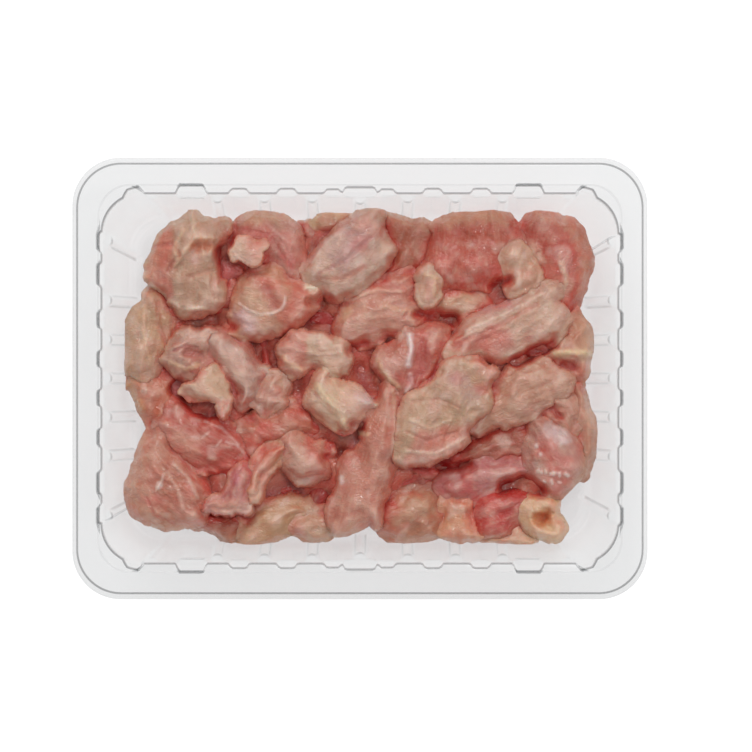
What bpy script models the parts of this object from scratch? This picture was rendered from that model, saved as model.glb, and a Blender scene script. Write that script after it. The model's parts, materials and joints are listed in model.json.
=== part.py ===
"""Open clear tray of raw boneless chicken pieces. Metres, +Z up, the origin under the tray's middle."""

import math

import bmesh
import bpy
import numpy as np

MM = 0.001
LENGTH, WIDTH, HEIGHT = 190.0, 146.0, 45.0
SHEET = 0.6
LIP_OUT, LIP_DROP = 1.8, 2.4
FLANGE_HALF = (93.2, 71.2)
LEDGE_HALF = (86.0, 63.6)
MOUTH_HALF = (84.9, 60.8)
FLOOR_HALF = (76.5, 53.5)
LEDGE_DROP, MOUTH_DROP, CAP_DROP = 0.5, 1.8, 4.0
FLOOR_EASE = 3.0
LIP_RADIUS, LEDGE_RADIUS, MOUTH_RADIUS, FLOOR_RADIUS = 16.0, 11.0, 13.0, 11.0
CORNER_STEPS = 5
RIB_DEPTH, RIB_HALF_WIDTH = 2.0, 2.1
LONG_RIBS = (0.0, 15.8, 31.6, 47.1, 69.0)
SHORT_RIBS = (0.0, 12.8, 25.8, 45.0)
LONG_PLUMB, SHORT_PLUMB = 50.0, 30.0

GAP = 0.5
WALL_GAP = 0.5
BED_BASE, BED_TOP = 0.95, 12.3
FOOT = 12.9
SPOKE_SPACING = 4.7
MIN_SPOKES, MAX_SPOKES = 10, 22
GROWTH_STEP, GROWTH_BASE, GROWTH_PER_MM, GROWTH_MOST = 0.25, 0.9, 0.25, 3.6
HIGHEST = 36.0
HEAP_SCALE = 0.99
HEAP_SHIFT = (-0.5, 0.2)

# name: (top height, edge drop, colour, outline)
PIECES = {
    "fold_top_left": (34.0, 8, (190, 150, 125), [
        (-71.5, 34), (-70, 41), (-66, 49), (-60, 53), (-55, 56), (-52, 54), (-46, 53.5),
        (-43.5, 50.5), (-46.5, 43), (-47, 26), (-52, 22), (-58, 21.5), (-64, 27)]),
    "dome_top": (33.0, 9, (195, 135, 120), [
        (-43, 48), (-40, 54.5), (-35, 56.8), (-29, 56.3), (-23, 53), (-19.5, 48),
        (-18.5, 42), (-20, 36.5), (-24, 33.5), (-30, 38), (-37, 38), (-42, 42)]),
    "star_flap": (36.0, 4, (200, 160, 130), [
        (-42, 43), (-40.5, 47), (-38, 47), (-35.5, 45), (-30.7, 45.2), (-32, 41.5),
        (-32.5, 38.5), (-37, 37.5), (-41, 40)]),
    "tendon_fold": (34.2, 8, (198, 140, 112), [
        (-40.5, 29), (-38.5, 34), (-33, 36.5), (-27, 38), (-22, 34), (-17, 31.3), (-13, 31),
        (-13, 28.5), (-15, 24), (-20, 18.5), (-27, 15), (-35, 13.5), (-41, 15), (-42.5, 19)]),
    "small_knob": (27.0, 6, (190, 130, 112), [
        (-46.5, 33), (-44.5, 36), (-42, 35.5), (-39.5, 32.5), (-40, 28), (-41, 24),
        (-45, 22.5), (-47, 25)]),
    "low_pink_top": (24.0, 6, (190, 135, 115), [
        (-20, 50.5), (-16, 51.3), (-11.5, 50), (-10, 47), (-14, 42.5), (-17.5, 41.5),
        (-19, 46)]),
    "top_yellow": (26.0, 6, (200, 165, 125), [
        (-14.5, 51), (-13, 55), (-10.5, 57), (-6, 57), (-1.5, 55), (-4, 51), (-8, 48.5),
        (-12, 49)]),
    "big_pale_top": (34.4, 9, (200, 165, 145), [
        (-18.5, 36), (-16, 40), (-12, 45), (-6, 51), (-1, 55), (4, 57), (8, 56.5),
        (7.5, 51), (9, 45), (11, 42), (9.5, 38), (5, 33.5), (-3, 27.5), (-9, 26.8),
        (-13, 29.5), (-17, 32)]),
    "red_behind_top": (28.0, 7, (178, 108, 86), [
        (8, 56.5), (14, 54.5), (18, 52.5), (21.5, 53.5), (24.5, 48.5), (23.5, 45.5),
        (25, 41), (22, 35), (14, 35), (7, 34), (9.5, 38), (11, 42), (9, 46)]),
    "mid_top_twin": (31.5, 8, (190, 135, 115), [
        (-6, 20), (-4, 24), (-1, 28), (3, 32), (10, 34), (17, 35), (20, 33), (19.5, 28),
        (22, 25), (24, 21), (21, 17), (15, 15.5), (9, 16), (4, 12.3), (-2, 11.5),
        (-5.5, 13)]),
    "hook": (32.4, 5, (205, 170, 145), [
        (21.5, 35), (26.5, 35), (27.2, 32), (26, 27.5), (22.5, 25), (20, 27), (20.5, 29.8),
        (21.8, 32)]),
    "cream_wedge": (28.4, 7, (204, 158, 130), [
        (26, 28), (29, 30.5), (34, 31), (38, 29), (41.5, 26.5), (42, 23.5), (37, 21),
        (30, 19), (25, 20), (24.5, 24)]),
    "big_red_top": (31.2, 8, (188, 112, 94), [
        (22.5, 36), (25.5, 41), (27.5, 47), (26.5, 52), (31, 54.5), (38, 57), (45, 58),
        (50, 54.5), (53.5, 49), (54, 45), (50, 42), (49.5, 36), (45, 32), (37, 31),
        (29, 32), (24, 34)]),
    "tan_shoulder": (32.2, 6, (195, 150, 125), [
        (50, 44.5), (54, 45), (56, 44.5), (58, 40), (59.5, 36), (59, 32.5), (55, 30),
        (51, 29.5), (50, 34), (48.5, 40)]),
    "right_top_red": (30.0, 8, (190, 104, 88), [
        (55.5, 45.5), (56.5, 52), (58, 57), (63, 57), (68, 53.8), (72, 54), (75, 50),
        (76.5, 45.5), (78.2, 40.5), (77, 33), (75.5, 28), (73, 22.5), (69, 22), (66, 25.5),
        (64, 31), (60, 31), (59.5, 36), (57, 42)]),
    "long_pale_right": (33.2, 8, (200, 160, 138), [
        (30, 6), (31.5, 10), (33.3, 14), (37, 19.5), (43, 22), (50, 24), (55, 27.5),
        (60, 30.7), (67, 31.5), (68.5, 28), (66, 25), (69.5, 21), (69, 16), (64, 12),
        (58, 9.5), (52, 6.5), (46, 6), (40, 8.5), (35, 5.5)]),
    "right_strip_lump": (29.2, 7, (195, 140, 115), [
        (67, 21), (72, 22.5), (76.5, 18), (78.3, 11), (78.8, 5), (77, 0), (73, -1.5),
        (69, 0.5), (65, 4.5), (63.5, 8), (66, 13), (69, 17)]),
    "right_mid_pale": (32.0, 8, (195, 145, 122), [
        (53, 3), (57, 5.8), (62.5, 6), (66, 2.5), (70, 0), (70, -4), (64.5, -4.5),
        (63.5, -8), (59.5, -10.5), (57, -13.5), (50, -14.5), (44, -16.5), (39, -18),
        (38.5, -14.5), (42, -9), (42.5, -4), (46, -1.5)]),
    "big_flat_centre": (35.6, 7, (198, 160, 132), [
        (29.5, 5), (38, 5.5), (42, 3), (47, 1), (43, -3.5), (43, -9), (39.5, -14),
        (37, -17.5), (34.5, -23), (27, -26.5), (20, -29), (14, -29), (13.5, -20),
        (14.5, -9), (22, -3), (27, 1.5)]),
    "white_tendon": (33.0, 8, (192, 118, 102), [
        (6.2, 6), (7, 8.7), (12, 11), (17, 14.8), (21, 15.5), (25, 17.3), (29, 16),
        (30.2, 12.5), (28, 7), (24, 0.5), (20, -4), (15.5, -5.6), (12.5, -3), (7.5, 2.5)]),
    "long_strip": (32.6, 8, (188, 134, 112), [
        (10, -2), (12.8, -4), (14, -12), (13.5, -22), (11, -31), (8, -38), (6.3, -44),
        (6.7, -49.6), (3.5, -47.5), (-1, -51), (-8, -53), (-9, -45.5), (-6.5, -37),
        (-5, -29), (-1, -24.5), (1.5, -20), (3, -15), (6, -10.5)]),
    "strip_foot": (27.0, 7, (195, 150, 125), [
        (-21.5, -49.5), (-18.5, -46.5), (-12, -45.5), (-7.5, -46.5), (-6, -50), (-9, -54),
        (-14, -56), (-19, -54)]),
    "centre_pale": (33.4, 8, (200, 165, 140), [
        (-25.5, 6), (-25.3, 11), (-21, 14.5), (-15, 15), (-9.5, 13), (-5.5, 11.7), (-3, 9),
        (-4.5, 3.5), (-6.5, 0), (-11, 1.5), (-15, 3.8), (-20, 1.7), (-24.5, 4)]),
    "under_centre": (24.0, 6, (184, 128, 108), [
        (-26, 0.5), (-22, 2), (-14, 2), (-14.5, -2), (-18, -5), (-17, -8), (-22.5, -5.5),
        (-25, -4)]),
    "cream_fat": (35.4, 7, (213, 188, 152), [
        (-13, 2.5), (-10.5, 2.8), (-9, 0), (-4, -2), (1, -4.5), (5.5, -8.3), (2, -10.5),
        (-1.5, -15.5), (-5, -18.3), (-11, -14), (-16.5, -10), (-18, -7.5), (-15.5, -2)]),
    "grey_pink_low": (23.0, 5, (175, 115, 100), [
        (-6, 0), (-3, 6), (0, 7), (5, 6), (7, 2), (9, -1), (8, -4), (5, -5.5), (1, -4.5),
        (-3, -2.5)]),
    "curled_left": (31.0, 7, (188, 140, 122), [
        (-65, 6), (-63, 11), (-59, 15.5), (-53, 15), (-49, 13), (-49.5, 9), (-52, 6),
        (-55, 2), (-59, 2.5), (-62, 3.5)]),
    "star_left": (33.6, 5, (206, 166, 136), [
        (-58.5, -4.7), (-54, -1), (-50.5, 2), (-48.8, 3.5), (-46.5, -2), (-44, -4),
        (-43, -7.5), (-43.8, -11), (-45, -13), (-46.5, -11), (-47, -8), (-51, -6.5),
        (-56, -6.3)]),
    "dome_left": (33.0, 9, (190, 150, 135), [
        (-49, 14), (-45, 15.5), (-41, 13), (-37, 9), (-34, 4), (-31, 2), (-34, -3),
        (-37, -8), (-39.5, -11), (-41, -8.5), (-40.5, -5), (-43, -3), (-46.5, 0),
        (-48.5, 4), (-50, 8)]),
    "small_tan": (30.0, 7, (200, 150, 130), [
        (-34, -1), (-31, 0.3), (-25.5, 0), (-25, -3), (-27, -5.5), (-25.3, -8), (-28, -10),
        (-31, -12), (-33, -9.5), (-35.8, -6)]),
    "low_strip": (24.2, 6, (190, 145, 125), [
        (-33.5, 14), (-29, 14), (-28.5, 8), (-28, 3), (-30, 1.5), (-32, 3), (-33, 8)]),
    "left_long": (28.2, 7, (195, 155, 125), [
        (-72, 30), (-68, 29), (-64, 25), (-61.5, 20), (-63, 15), (-65, 9), (-68, 6),
        (-71, 2), (-78, 1), (-78, 6), (-79, 13), (-78.5, 19), (-76, 23), (-72.5, 25.5)]),
    "left_orange": (26.2, 6, (187, 118, 90), [
        (-79.5, -1), (-78, 1), (-70, 1.5), (-63, 0), (-61, -3), (-60, -7), (-63.5, -10.5),
        (-65, -14), (-67.5, -15.2), (-73.5, -12), (-77, -5), (-79.5, -3.5)]),
    "corner_round": (31.4, 9, (190, 122, 102), [
        (-67.5, -16), (-72, -20), (-74.5, -24), (-77, -31), (-79, -36), (-78.5, -40),
        (-77, -45), (-74, -48), (-68, -50), (-58, -50), (-53.5, -48), (-52.3, -44),
        (-52, -38), (-53, -33), (-56, -30), (-60, -26.5), (-64, -22), (-66, -18)]),
    "spiky_red": (30.0, 8, (184, 98, 84), [
        (-67, -16), (-64, -13), (-62.5, -9), (-61, -7), (-58.5, -10), (-55, -13.5),
        (-50, -12.5), (-44, -15.5), (-39, -20), (-38.5, -25), (-42, -30), (-46, -31),
        (-52, -30.5), (-57, -29), (-61, -26), (-65, -22)]),
    "fibrous_mid": (28.6, 7, (190, 132, 108), [
        (-40, -17), (-36, -15), (-31, -13), (-27, -11), (-23, -9.5), (-19, -9.5),
        (-15.5, -15), (-17, -17.5), (-22, -19), (-26, -22), (-32, -24), (-36, -29),
        (-38, -27), (-38.5, -22)]),
    "orange_strip": (31.0, 6, (205, 145, 115), [
        (-25, -22), (-26, -25), (-29, -29), (-32, -34), (-34, -38.5), (-36, -40),
        (-38.5, -38.5), (-35.5, -32), (-33, -27), (-31, -23.5)]),
    "purple_flap": (31.2, 6, (190, 120, 112), [
        (-40.5, -30), (-38, -28.5), (-36.5, -31), (-36.5, -34), (-38, -37.5), (-37.5, -41),
        (-38, -43.5), (-42, -43.5), (-45, -45), (-50.7, -43.3), (-48, -41.5), (-45, -39),
        (-43.5, -36), (-43, -33)]),
    "tan_block": (32.4, 8, (200, 145, 125), [
        (-25, -20.5), (-22, -18.8), (-16, -22.5), (-12, -22.5), (-9.5, -24.5), (-11, -27),
        (-10.5, -29.5), (-12.5, -32.8), (-19.5, -34.3), (-25, -29.5), (-24.8, -25)]),
    "red_low": (21.0, 5, (152, 64, 60), [
        (-37, -32), (-31, -28.5), (-26, -28), (-24, -31), (-19, -35), (-16.5, -37),
        (-17.5, -41.5), (-24, -43), (-32, -43.5), (-38, -42)]),
    "purple_low": (23.0, 5, (132, 50, 52), [
        (-15.5, -35), (-12, -31), (-8, -32), (-7, -37), (-8, -40), (-12, -43.5),
        (-16, -44), (-17.5, -41)]),
    "bottom_tan_strip": (26.0, 7, (195, 150, 115), [
        (-39, -50), (-36, -46.5), (-32, -44.5), (-27, -43), (-22, -43), (-18, -44.5),
        (-22, -48), (-24.5, -51.5), (-29, -55.5), (-36, -58), (-40, -57.8), (-40, -54)]),
    "bottom_brown": (24.0, 6, (168, 92, 74), [
        (-52.5, -45), (-48, -45.5), (-42, -44.5), (-38, -46), (-39.5, -50), (-41.5, -58),
        (-45, -56), (-51, -52), (-56, -51.5), (-54, -49)]),
    "bottom_round": (28.0, 8, (182, 120, 94), [
        (6.5, -50), (6.2, -45), (8, -41), (12, -39.5), (18, -39), (24, -38.5),
        (27.5, -45), (28.5, -48), (27, -53), (20, -55.5), (13, -56), (8, -53.5)]),
    "cream_side": (28.2, 7, (210, 160, 125), [
        (30.5, -41), (36.5, -41.5), (39, -40.5), (38.5, -45), (39, -50), (41, -53),
        (36, -54.3), (30, -53.8), (28, -51), (29, -46)]),
    "red_muscle": (28.4, 7, (187, 86, 78), [
        (39, -40.5), (44, -38), (48, -36.5), (56, -37.5), (64, -38.5), (62, -41),
        (57, -43), (55, -47), (52, -48.5), (50, -51), (48, -53), (42, -53), (39.5, -50)]),
    "bottom_flap": (25.0, 6, (215, 175, 145), [
        (42, -54.5), (50, -53), (52, -50), (55, -48.5), (58, -53), (61, -55.5), (58, -57),
        (50, -56.5)]),
    "curl": (30.0, 7, (215, 165, 115), [
        (56, -43), (61, -41), (65.8, -39.8), (67.5, -43), (67.8, -46), (69.8, -50),
        (68, -54), (64, -55.2), (60, -54), (57, -49)]),
    "beaded_round": (32.0, 8, (185, 130, 115), [
        (57, -26), (58.5, -20), (60, -13.7), (65, -16.5), (71, -20), (74.5, -26),
        (76, -30), (73, -36), (69.5, -38), (66, -39), (62, -38), (58, -33)]),
    "right_edge_long": (28.0, 6, (190, 130, 110), [
        (71.5, -1.5), (75, -1.5), (78, -9), (79.5, -13), (80.8, -22), (79, -28),
        (75.5, -34.5), (74.5, -30), (74, -25), (72.5, -20), (73.5, -14), (73, -8)]),
    "right_folds": (29.2, 7, (195, 140, 120), [
        (64.5, -5), (69, -5), (71, -5.5), (73.5, -8), (74, -12), (72.5, -16), (70, -19),
        (66, -16.5), (63, -13)]),
    "dull_brown": (26.2, 6, (172, 112, 92), [
        (36.5, -20.5), (42, -18), (51, -15), (57, -14.5), (58.5, -18), (58, -22),
        (56.5, -27), (50, -28.5), (44, -28), (38, -29), (28, -30), (20, -29.5), (30, -26),
        (34, -23.5)]),
    "pink_strip": (28.6, 7, (190, 117, 113), [
        (28.5, -36), (35, -33), (41, -29), (46, -29), (56, -29.5), (56.5, -32),
        (48.5, -35), (43, -37.5), (39, -40), (34, -40.5), (30, -39.5)]),
    "brown_low": (23.2, 5, (152, 80, 67), [
        (11, -31), (14, -29.5), (24, -30), (36, -30), (31, -34.5), (27, -38.5),
        (20, -38.5), (12, -39.5), (8, -40), (8, -36)]),
    "dark_left": (19.6, 4, (146, 62, 54), [
        (-62, 18), (-60, 22), (-47, 23), (-44, 20), (-46, 16), (-52, 14.5), (-59, 16)]),
    "purple_mid": (22.4, 5, (134, 74, 74), [
        (-22, 16), (-14, 26), (-8, 27), (-3, 26), (-5, 20), (-5, 13), (-14, 15)]),
    "red_mid": (21.6, 5, (160, 66, 60), [
        (24, 20), (36, 20), (34, 16), (31, 14), (29, 16), (25, 17.5)]),
    "pink_right": (24.6, 5, (176, 112, 106), [
        (41.5, 4), (44, 6.3), (53, 5), (52, 2), (49, 0.4), (46, 0.8)]),
}


def material(name, colour, roughness, alpha=1.0):
    made = bpy.data.materials.new(name)
    made.use_nodes = True
    shader = made.node_tree.nodes["Principled BSDF"]
    linear = [(c / 255.0) ** 2.2 for c in colour]
    shader.inputs["Base Color"].default_value = (*linear, 1.0)
    shader.inputs["Roughness"].default_value = roughness
    shader.inputs["Metallic"].default_value = 0.0
    shader.inputs["Alpha"].default_value = alpha
    made.diffuse_color = (*linear, alpha)
    return made


def new_object(name, verts, faces, mat):
    mesh = bpy.data.meshes.new(name)
    mesh.from_pydata([tuple(c * MM for c in v) for v in verts], [], faces)
    mesh.validate()
    work = bmesh.new()
    work.from_mesh(mesh)
    bmesh.ops.recalc_face_normals(work, faces=work.faces)
    work.to_mesh(mesh)
    work.free()
    mesh.materials.append(mat)
    made = bpy.data.objects.new(name, mesh)
    bpy.context.scene.collection.objects.link(made)
    return made


# Tray

def side_stations(ribs, straight):
    """Places along one straight side, as (distance, rib depth share)."""
    found = []
    for centre in sorted({s * r for r in ribs for s in (-1, 1)}):
        centre = centre + 0.0
        found += [
            (centre - RIB_HALF_WIDTH, 0.0),
            (centre, 1.0),
            (centre + RIB_HALF_WIDTH, 0.0),
        ]
    return [s for s in found if abs(s[0]) < straight + 2.0]


def squeezed(along, plumb, top_straight, straight):
    """Ribs stand plumb up to a distance from the middle, and lean with the corner past it."""
    if abs(along) <= plumb:
        return along
    share = (abs(along) - plumb) / (top_straight - plumb)
    return math.copysign(plumb + share * (straight - plumb), along)


def tray_ring(half, radius, z, rib):
    """One loop round the tray, with the same points in the same order on every ring."""
    hx, hy = half
    top_x = MOUTH_HALF[0] - MOUTH_RADIUS
    top_y = MOUTH_HALF[1] - MOUTH_RADIUS
    straight_x, straight_y = hx - radius, hy - radius
    long_side = [(squeezed(s, LONG_PLUMB, top_x + 1.5, straight_x), d)
                 for s, d in side_stations(LONG_RIBS, top_x)]
    short_side = [(squeezed(s, SHORT_PLUMB, top_y + 1.5, straight_y), d)
                  for s, d in side_stations(SHORT_RIBS, top_y)]
    loop = []

    def corner(cx, cy, start):
        for i in range(CORNER_STEPS):
            angle = math.radians(start + 90.0 * (i + 0.5) / CORNER_STEPS)
            loop.append((cx + radius * math.cos(angle), cy + radius * math.sin(angle), z))

    for s, d in short_side:
        loop.append((hx - rib * d, s, z))
    corner(straight_x, straight_y, 0)
    for s, d in reversed(long_side):
        loop.append((s, hy - rib * d, z))
    corner(-straight_x, straight_y, 90)
    for s, d in reversed(short_side):
        loop.append((-hx + rib * d, s, z))
    corner(-straight_x, -straight_y, 180)
    for s, d in long_side:
        loop.append((s, -hy + rib * d, z))
    corner(straight_x, -straight_y, 270)
    return loop


def between(a, b, share):
    return tuple(p + (q - p) * share for p, q in zip(a, b))


def wall_half(z):
    """Half sizes of the wall's inner face at a height, between the ribs."""
    share = (z - SHEET) / (HEIGHT - MOUTH_DROP - SHEET)
    return between(FLOOR_HALF, MOUTH_HALF, share)


def wall_radius(z):
    share = (z - SHEET) / (HEIGHT - MOUTH_DROP - SHEET)
    return FLOOR_RADIUS + (MOUTH_RADIUS - FLOOR_RADIUS) * share


def build_tray():
    half = (LENGTH / 2, WIDTH / 2)
    cap = HEIGHT - CAP_DROP
    ease = SHEET + FLOOR_EASE
    eased = tuple(h - FLOOR_EASE for h in FLOOR_HALF)
    rings = [
        tray_ring(half, LIP_RADIUS, HEIGHT - LIP_DROP, 0.0),
        tray_ring(FLANGE_HALF, LIP_RADIUS - LIP_OUT, HEIGHT, 0.0),
        tray_ring(LEDGE_HALF, LEDGE_RADIUS, HEIGHT - LEDGE_DROP, 0.0),
        tray_ring(MOUTH_HALF, MOUTH_RADIUS, HEIGHT - MOUTH_DROP, 0.0),
        tray_ring(wall_half(cap), wall_radius(cap), cap, RIB_DEPTH),
        tray_ring(wall_half(ease), wall_radius(ease), ease, RIB_DEPTH),
        tray_ring(eased, FLOOR_RADIUS - FLOOR_EASE / 2, SHEET, 0.0),
    ]
    count = len(rings[0])
    verts = [v for ring in rings for v in ring]
    faces = []
    for r in range(len(rings) - 1):
        for i in range(count):
            j = (i + 1) % count
            faces.append((r * count + i, r * count + j, (r + 1) * count + j,
                          (r + 1) * count + i))
    middle = len(verts)
    verts.append((0.0, 0.0, SHEET))
    last = (len(rings) - 1) * count
    for i in range(count):
        faces.append((last + i, last + (i + 1) % count, middle))
    made = new_object("tray", verts, faces, material("clear_plastic", (238, 240, 240), 0.15, 0.35))
    work = bmesh.new()
    work.from_mesh(made.data)
    up = sum(f.normal.z * f.calc_area() for f in work.faces)
    if up < 0:
        bmesh.ops.reverse_faces(work, faces=work.faces)
    work.to_mesh(made.data)
    work.free()
    skin = made.modifiers.new("sheet", "SOLIDIFY")
    skin.thickness = SHEET * MM
    skin.offset = -1.0
    skin.use_even_offset = False
    return made


# Meat

def clamped(point, z, margin):
    """A point drawn in to stay inside the tray's ribs at this height."""
    hx, hy = (h - RIB_DEPTH - margin for h in wall_half(z))
    radius = wall_radius(z)
    x = max(-hx, min(hx, point[0]))
    y = max(-hy, min(hy, point[1]))
    over_x, over_y = abs(x) - (hx - radius), abs(y) - (hy - radius)
    if over_x > 0 and over_y > 0:
        reach = math.hypot(over_x, over_y)
        if reach > radius:
            x = math.copysign(hx - radius + over_x * radius / reach, x)
            y = math.copysign(hy - radius + over_y * radius / reach, y)
    return x, y


def spline(points, count):
    """A closed curve through the points, sampled at even steps."""
    points = np.asarray(points, float)
    before, after, later = (np.roll(points, k, axis=0) for k in (1, -1, -2))
    fine = []
    for t in np.linspace(0, 1, 8, endpoint=False):
        fine.append(0.5 * (2 * points + (after - before) * t
                           + (2 * before - 5 * points + 4 * after - later) * t ** 2
                           + (3 * points - before - 3 * after + later) * t ** 3))
    curve = np.stack(fine, axis=1).reshape(-1, 2)
    steps = np.linalg.norm(np.roll(curve, -1, axis=0) - curve, axis=1)
    run = np.concatenate([[0], np.cumsum(steps)])
    total = run[-1]
    closed = np.vstack([curve, curve[:1]])
    at = np.arange(count) * total / count
    return np.column_stack([np.interp(at, run, closed[:, k]) for k in (0, 1)]), total


def crosses(p, q, a, b):
    """Whether each segment p-q crosses each segment a-b, as a table."""
    def side(o, u, v):
        return ((u[..., 0] - o[..., 0]) * (v[..., 1] - o[..., 1])
                - (u[..., 1] - o[..., 1]) * (v[..., 0] - o[..., 0]))

    p, q = p[:, None], q[:, None]
    a, b = a[None], b[None]
    return (side(p, q, a) * side(p, q, b) < 0) & (side(a, b, p) * side(a, b, q) < 0)


def inside(points, poly):
    a, b = poly[None], np.roll(poly, -1, axis=0)[None]
    y = points[:, None, 1]
    spans = (a[..., 1] > y) != (b[..., 1] > y)
    rise = np.where(b[..., 1] == a[..., 1], 1.0, b[..., 1] - a[..., 1])
    x = a[..., 0] + (y - a[..., 1]) * (b[..., 0] - a[..., 0]) / rise
    return (spans & (points[:, None, 0] < x)).sum(axis=1) % 2 == 1


def distances(points, poly):
    """Each point's distance to each edge of the polygon."""
    a, b = poly[None], np.roll(poly, -1, axis=0)[None]
    p = points[:, None]
    along = ((p - a) * (b - a)).sum(-1) / np.maximum(((b - a) ** 2).sum(-1), 1e-9)
    near = a + np.clip(along, 0, 1)[..., None] * (b - a)
    return np.linalg.norm(p - near, axis=-1)


def best_centre(outline, placed):
    """The place that sees most of the outline, and then the one farthest from any edge."""
    low, high = outline.min(axis=0), outline.max(axis=0)
    xs, ys = (np.linspace(low[k], high[k], 25) for k in (0, 1))
    grid = np.array([(x, y) for x in xs for y in ys])
    grid = grid[inside(grid, outline)]
    clear = distances(grid, outline).min(axis=1)
    for other in placed:
        taken = inside(grid, other)
        clear = np.where(taken, -1.0, np.minimum(clear, distances(grid, other).min(axis=1)))
    grid, clear = grid[clear > 1.2], clear[clear > 1.2]
    shrunk = outline + (outline.mean(axis=0) - outline) * 1e-3
    starts, ends = outline, np.roll(outline, -1, axis=0)
    best, score = None, -1.0
    for point, room in zip(grid, clear):
        sees = (~crosses(np.repeat(point[None], len(outline), 0), shrunk, starts, ends)
                .any(axis=1)).mean()
        if sees * 20 + room > score:
            best, score = point, sees * 20 + room
    return best


def star_outline(outline, centre):
    starts, ends = outline, np.roll(outline, -1, axis=0)
    shrunk = centre + (outline - centre) * 0.999
    seen = ~crosses(np.repeat(centre[None], len(outline), 0), shrunk, starts, ends).any(axis=1)
    away = outline[seen] - centre
    angle = np.arctan2(away[:, 1], away[:, 0])
    reach = np.linalg.norm(away, axis=1)
    order = np.argsort(angle)
    angle, reach = angle[order], reach[order]
    keep = np.concatenate([[True], np.diff(angle) > 0.06])
    return angle[keep], reach[keep]


def trimmed(angle, reach, centre, placed):
    """The spokes shortened until the outline clears every piece that lies higher."""
    reach = reach.copy()
    heading = np.column_stack([np.cos(angle), np.sin(angle)])
    for _ in range(400):
        poly = centre + heading * reach[:, None]
        ends = np.roll(poly, -1, axis=0)
        bad = np.zeros(len(reach), bool)
        for other in placed:
            if (poly.max(0) < other.min(0) - GAP).any() or (poly.min(0) > other.max(0) + GAP).any():
                continue
            bad |= inside(poly, other) | (distances(poly, other).min(axis=1) < GAP)
            edge = (crosses(poly, ends, other, np.roll(other, -1, axis=0)).any(axis=1)
                    | (distances(other, poly).min(axis=0) < GAP))
            bad |= edge | np.roll(edge, 1)
        if not bad.any():
            break
        reach[bad] -= 0.2
        reach = np.maximum(reach, 0.8)
    return reach, not bad.any()


def grown(stars, tops):
    """Every outline widened a little at a time into the free space round it, low pieces the most."""
    heading = [np.column_stack([np.cos(angle), np.sin(angle)]) for angle, _, _ in stars]
    polys = [centre + h * reach[:, None] for h, (_, reach, centre) in zip(heading, stars)]
    limit = [min(GROWTH_MOST, GROWTH_BASE + GROWTH_PER_MM * (HIGHEST - top)) for top in tops]
    start = [reach.copy() for _, reach, _ in stars]
    for _ in range(int(GROWTH_MOST / GROWTH_STEP)):
        for i, (_, reach, centre) in enumerate(stars):
            near = [other for j, other in enumerate(polys) if j != i
                    and not (polys[i].max(0) < other.min(0) - 2).any()
                    and not (polys[i].min(0) > other.max(0) + 2).any()]
            for k in range(len(reach)):
                if reach[k] - start[i][k] > limit[i]:
                    continue
                tip = centre + heading[i][k] * (reach[k] + GROWTH_STEP)
                wedge = np.array([polys[i][k - 1], tip, polys[i][(k + 1) % len(reach)]])
                sides = wedge[:2], wedge[1:]
                free = True
                for other in near:
                    ends = np.roll(other, -1, axis=0)
                    if (inside(tip[None], other).any()
                            or distances(tip[None], other).min() < GAP
                            or crosses(*sides, other, ends).any()
                            or distances(other, wedge)[:, :2].min() < GAP):
                        free = False
                        break
                if free:
                    reach[k] += GROWTH_STEP
                    polys[i][k] = tip
    return stars


def ring_of(angle, reach, centre, factor, z):
    """One ring of a piece, drawn in where it would pass the tray's ribs."""
    ring = []
    for a, r in zip(angle, reach * factor):
        x, y = centre[0] + r * math.cos(a), centre[1] + r * math.sin(a)
        while r > 0.4 and math.dist(clamped((x, y), z, WALL_GAP), (x, y)) > 1e-6:
            r -= 0.1
            x, y = centre[0] + r * math.cos(a), centre[1] + r * math.sin(a)
        ring.append((x, y))
    return ring


def build_piece(name, top, drop, colour, angle, reach, centre, rng):
    edge = max(FOOT + 2.0, top - drop)
    rings = [(0.80, FOOT), (1.0, edge), (0.84, top - 0.30 * drop), (0.48, top - 0.06 * drop)]
    n = len(angle)
    verts, faces = [], []
    for level, (factor, z) in enumerate(rings):
        spread = (0.0, 0.5, 0.5, 0.5)[level]
        for x, y in ring_of(angle, reach, centre, factor, z):
            verts.append((x, y, z + spread * (rng.random() - 0.5)))
    for level in range(len(rings) - 1):
        for i in range(n):
            j = (i + 1) % n
            a, b = level * n, (level + 1) * n
            faces.append((a + i, a + j, b + j))
            faces.append((a + i, b + j, b + i))
    verts += [(centre[0], centre[1], FOOT), (centre[0], centre[1], top)]
    for i in range(n):
        j = (i + 1) % n
        faces.append((j, i, 4 * n))
        faces.append((3 * n + i, 3 * n + j, 4 * n + 1))
    made = new_object(name, verts, faces, material("meat_" + name, colour, 0.38))
    for face in made.data.polygons:
        face.use_smooth = True
    return made


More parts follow.
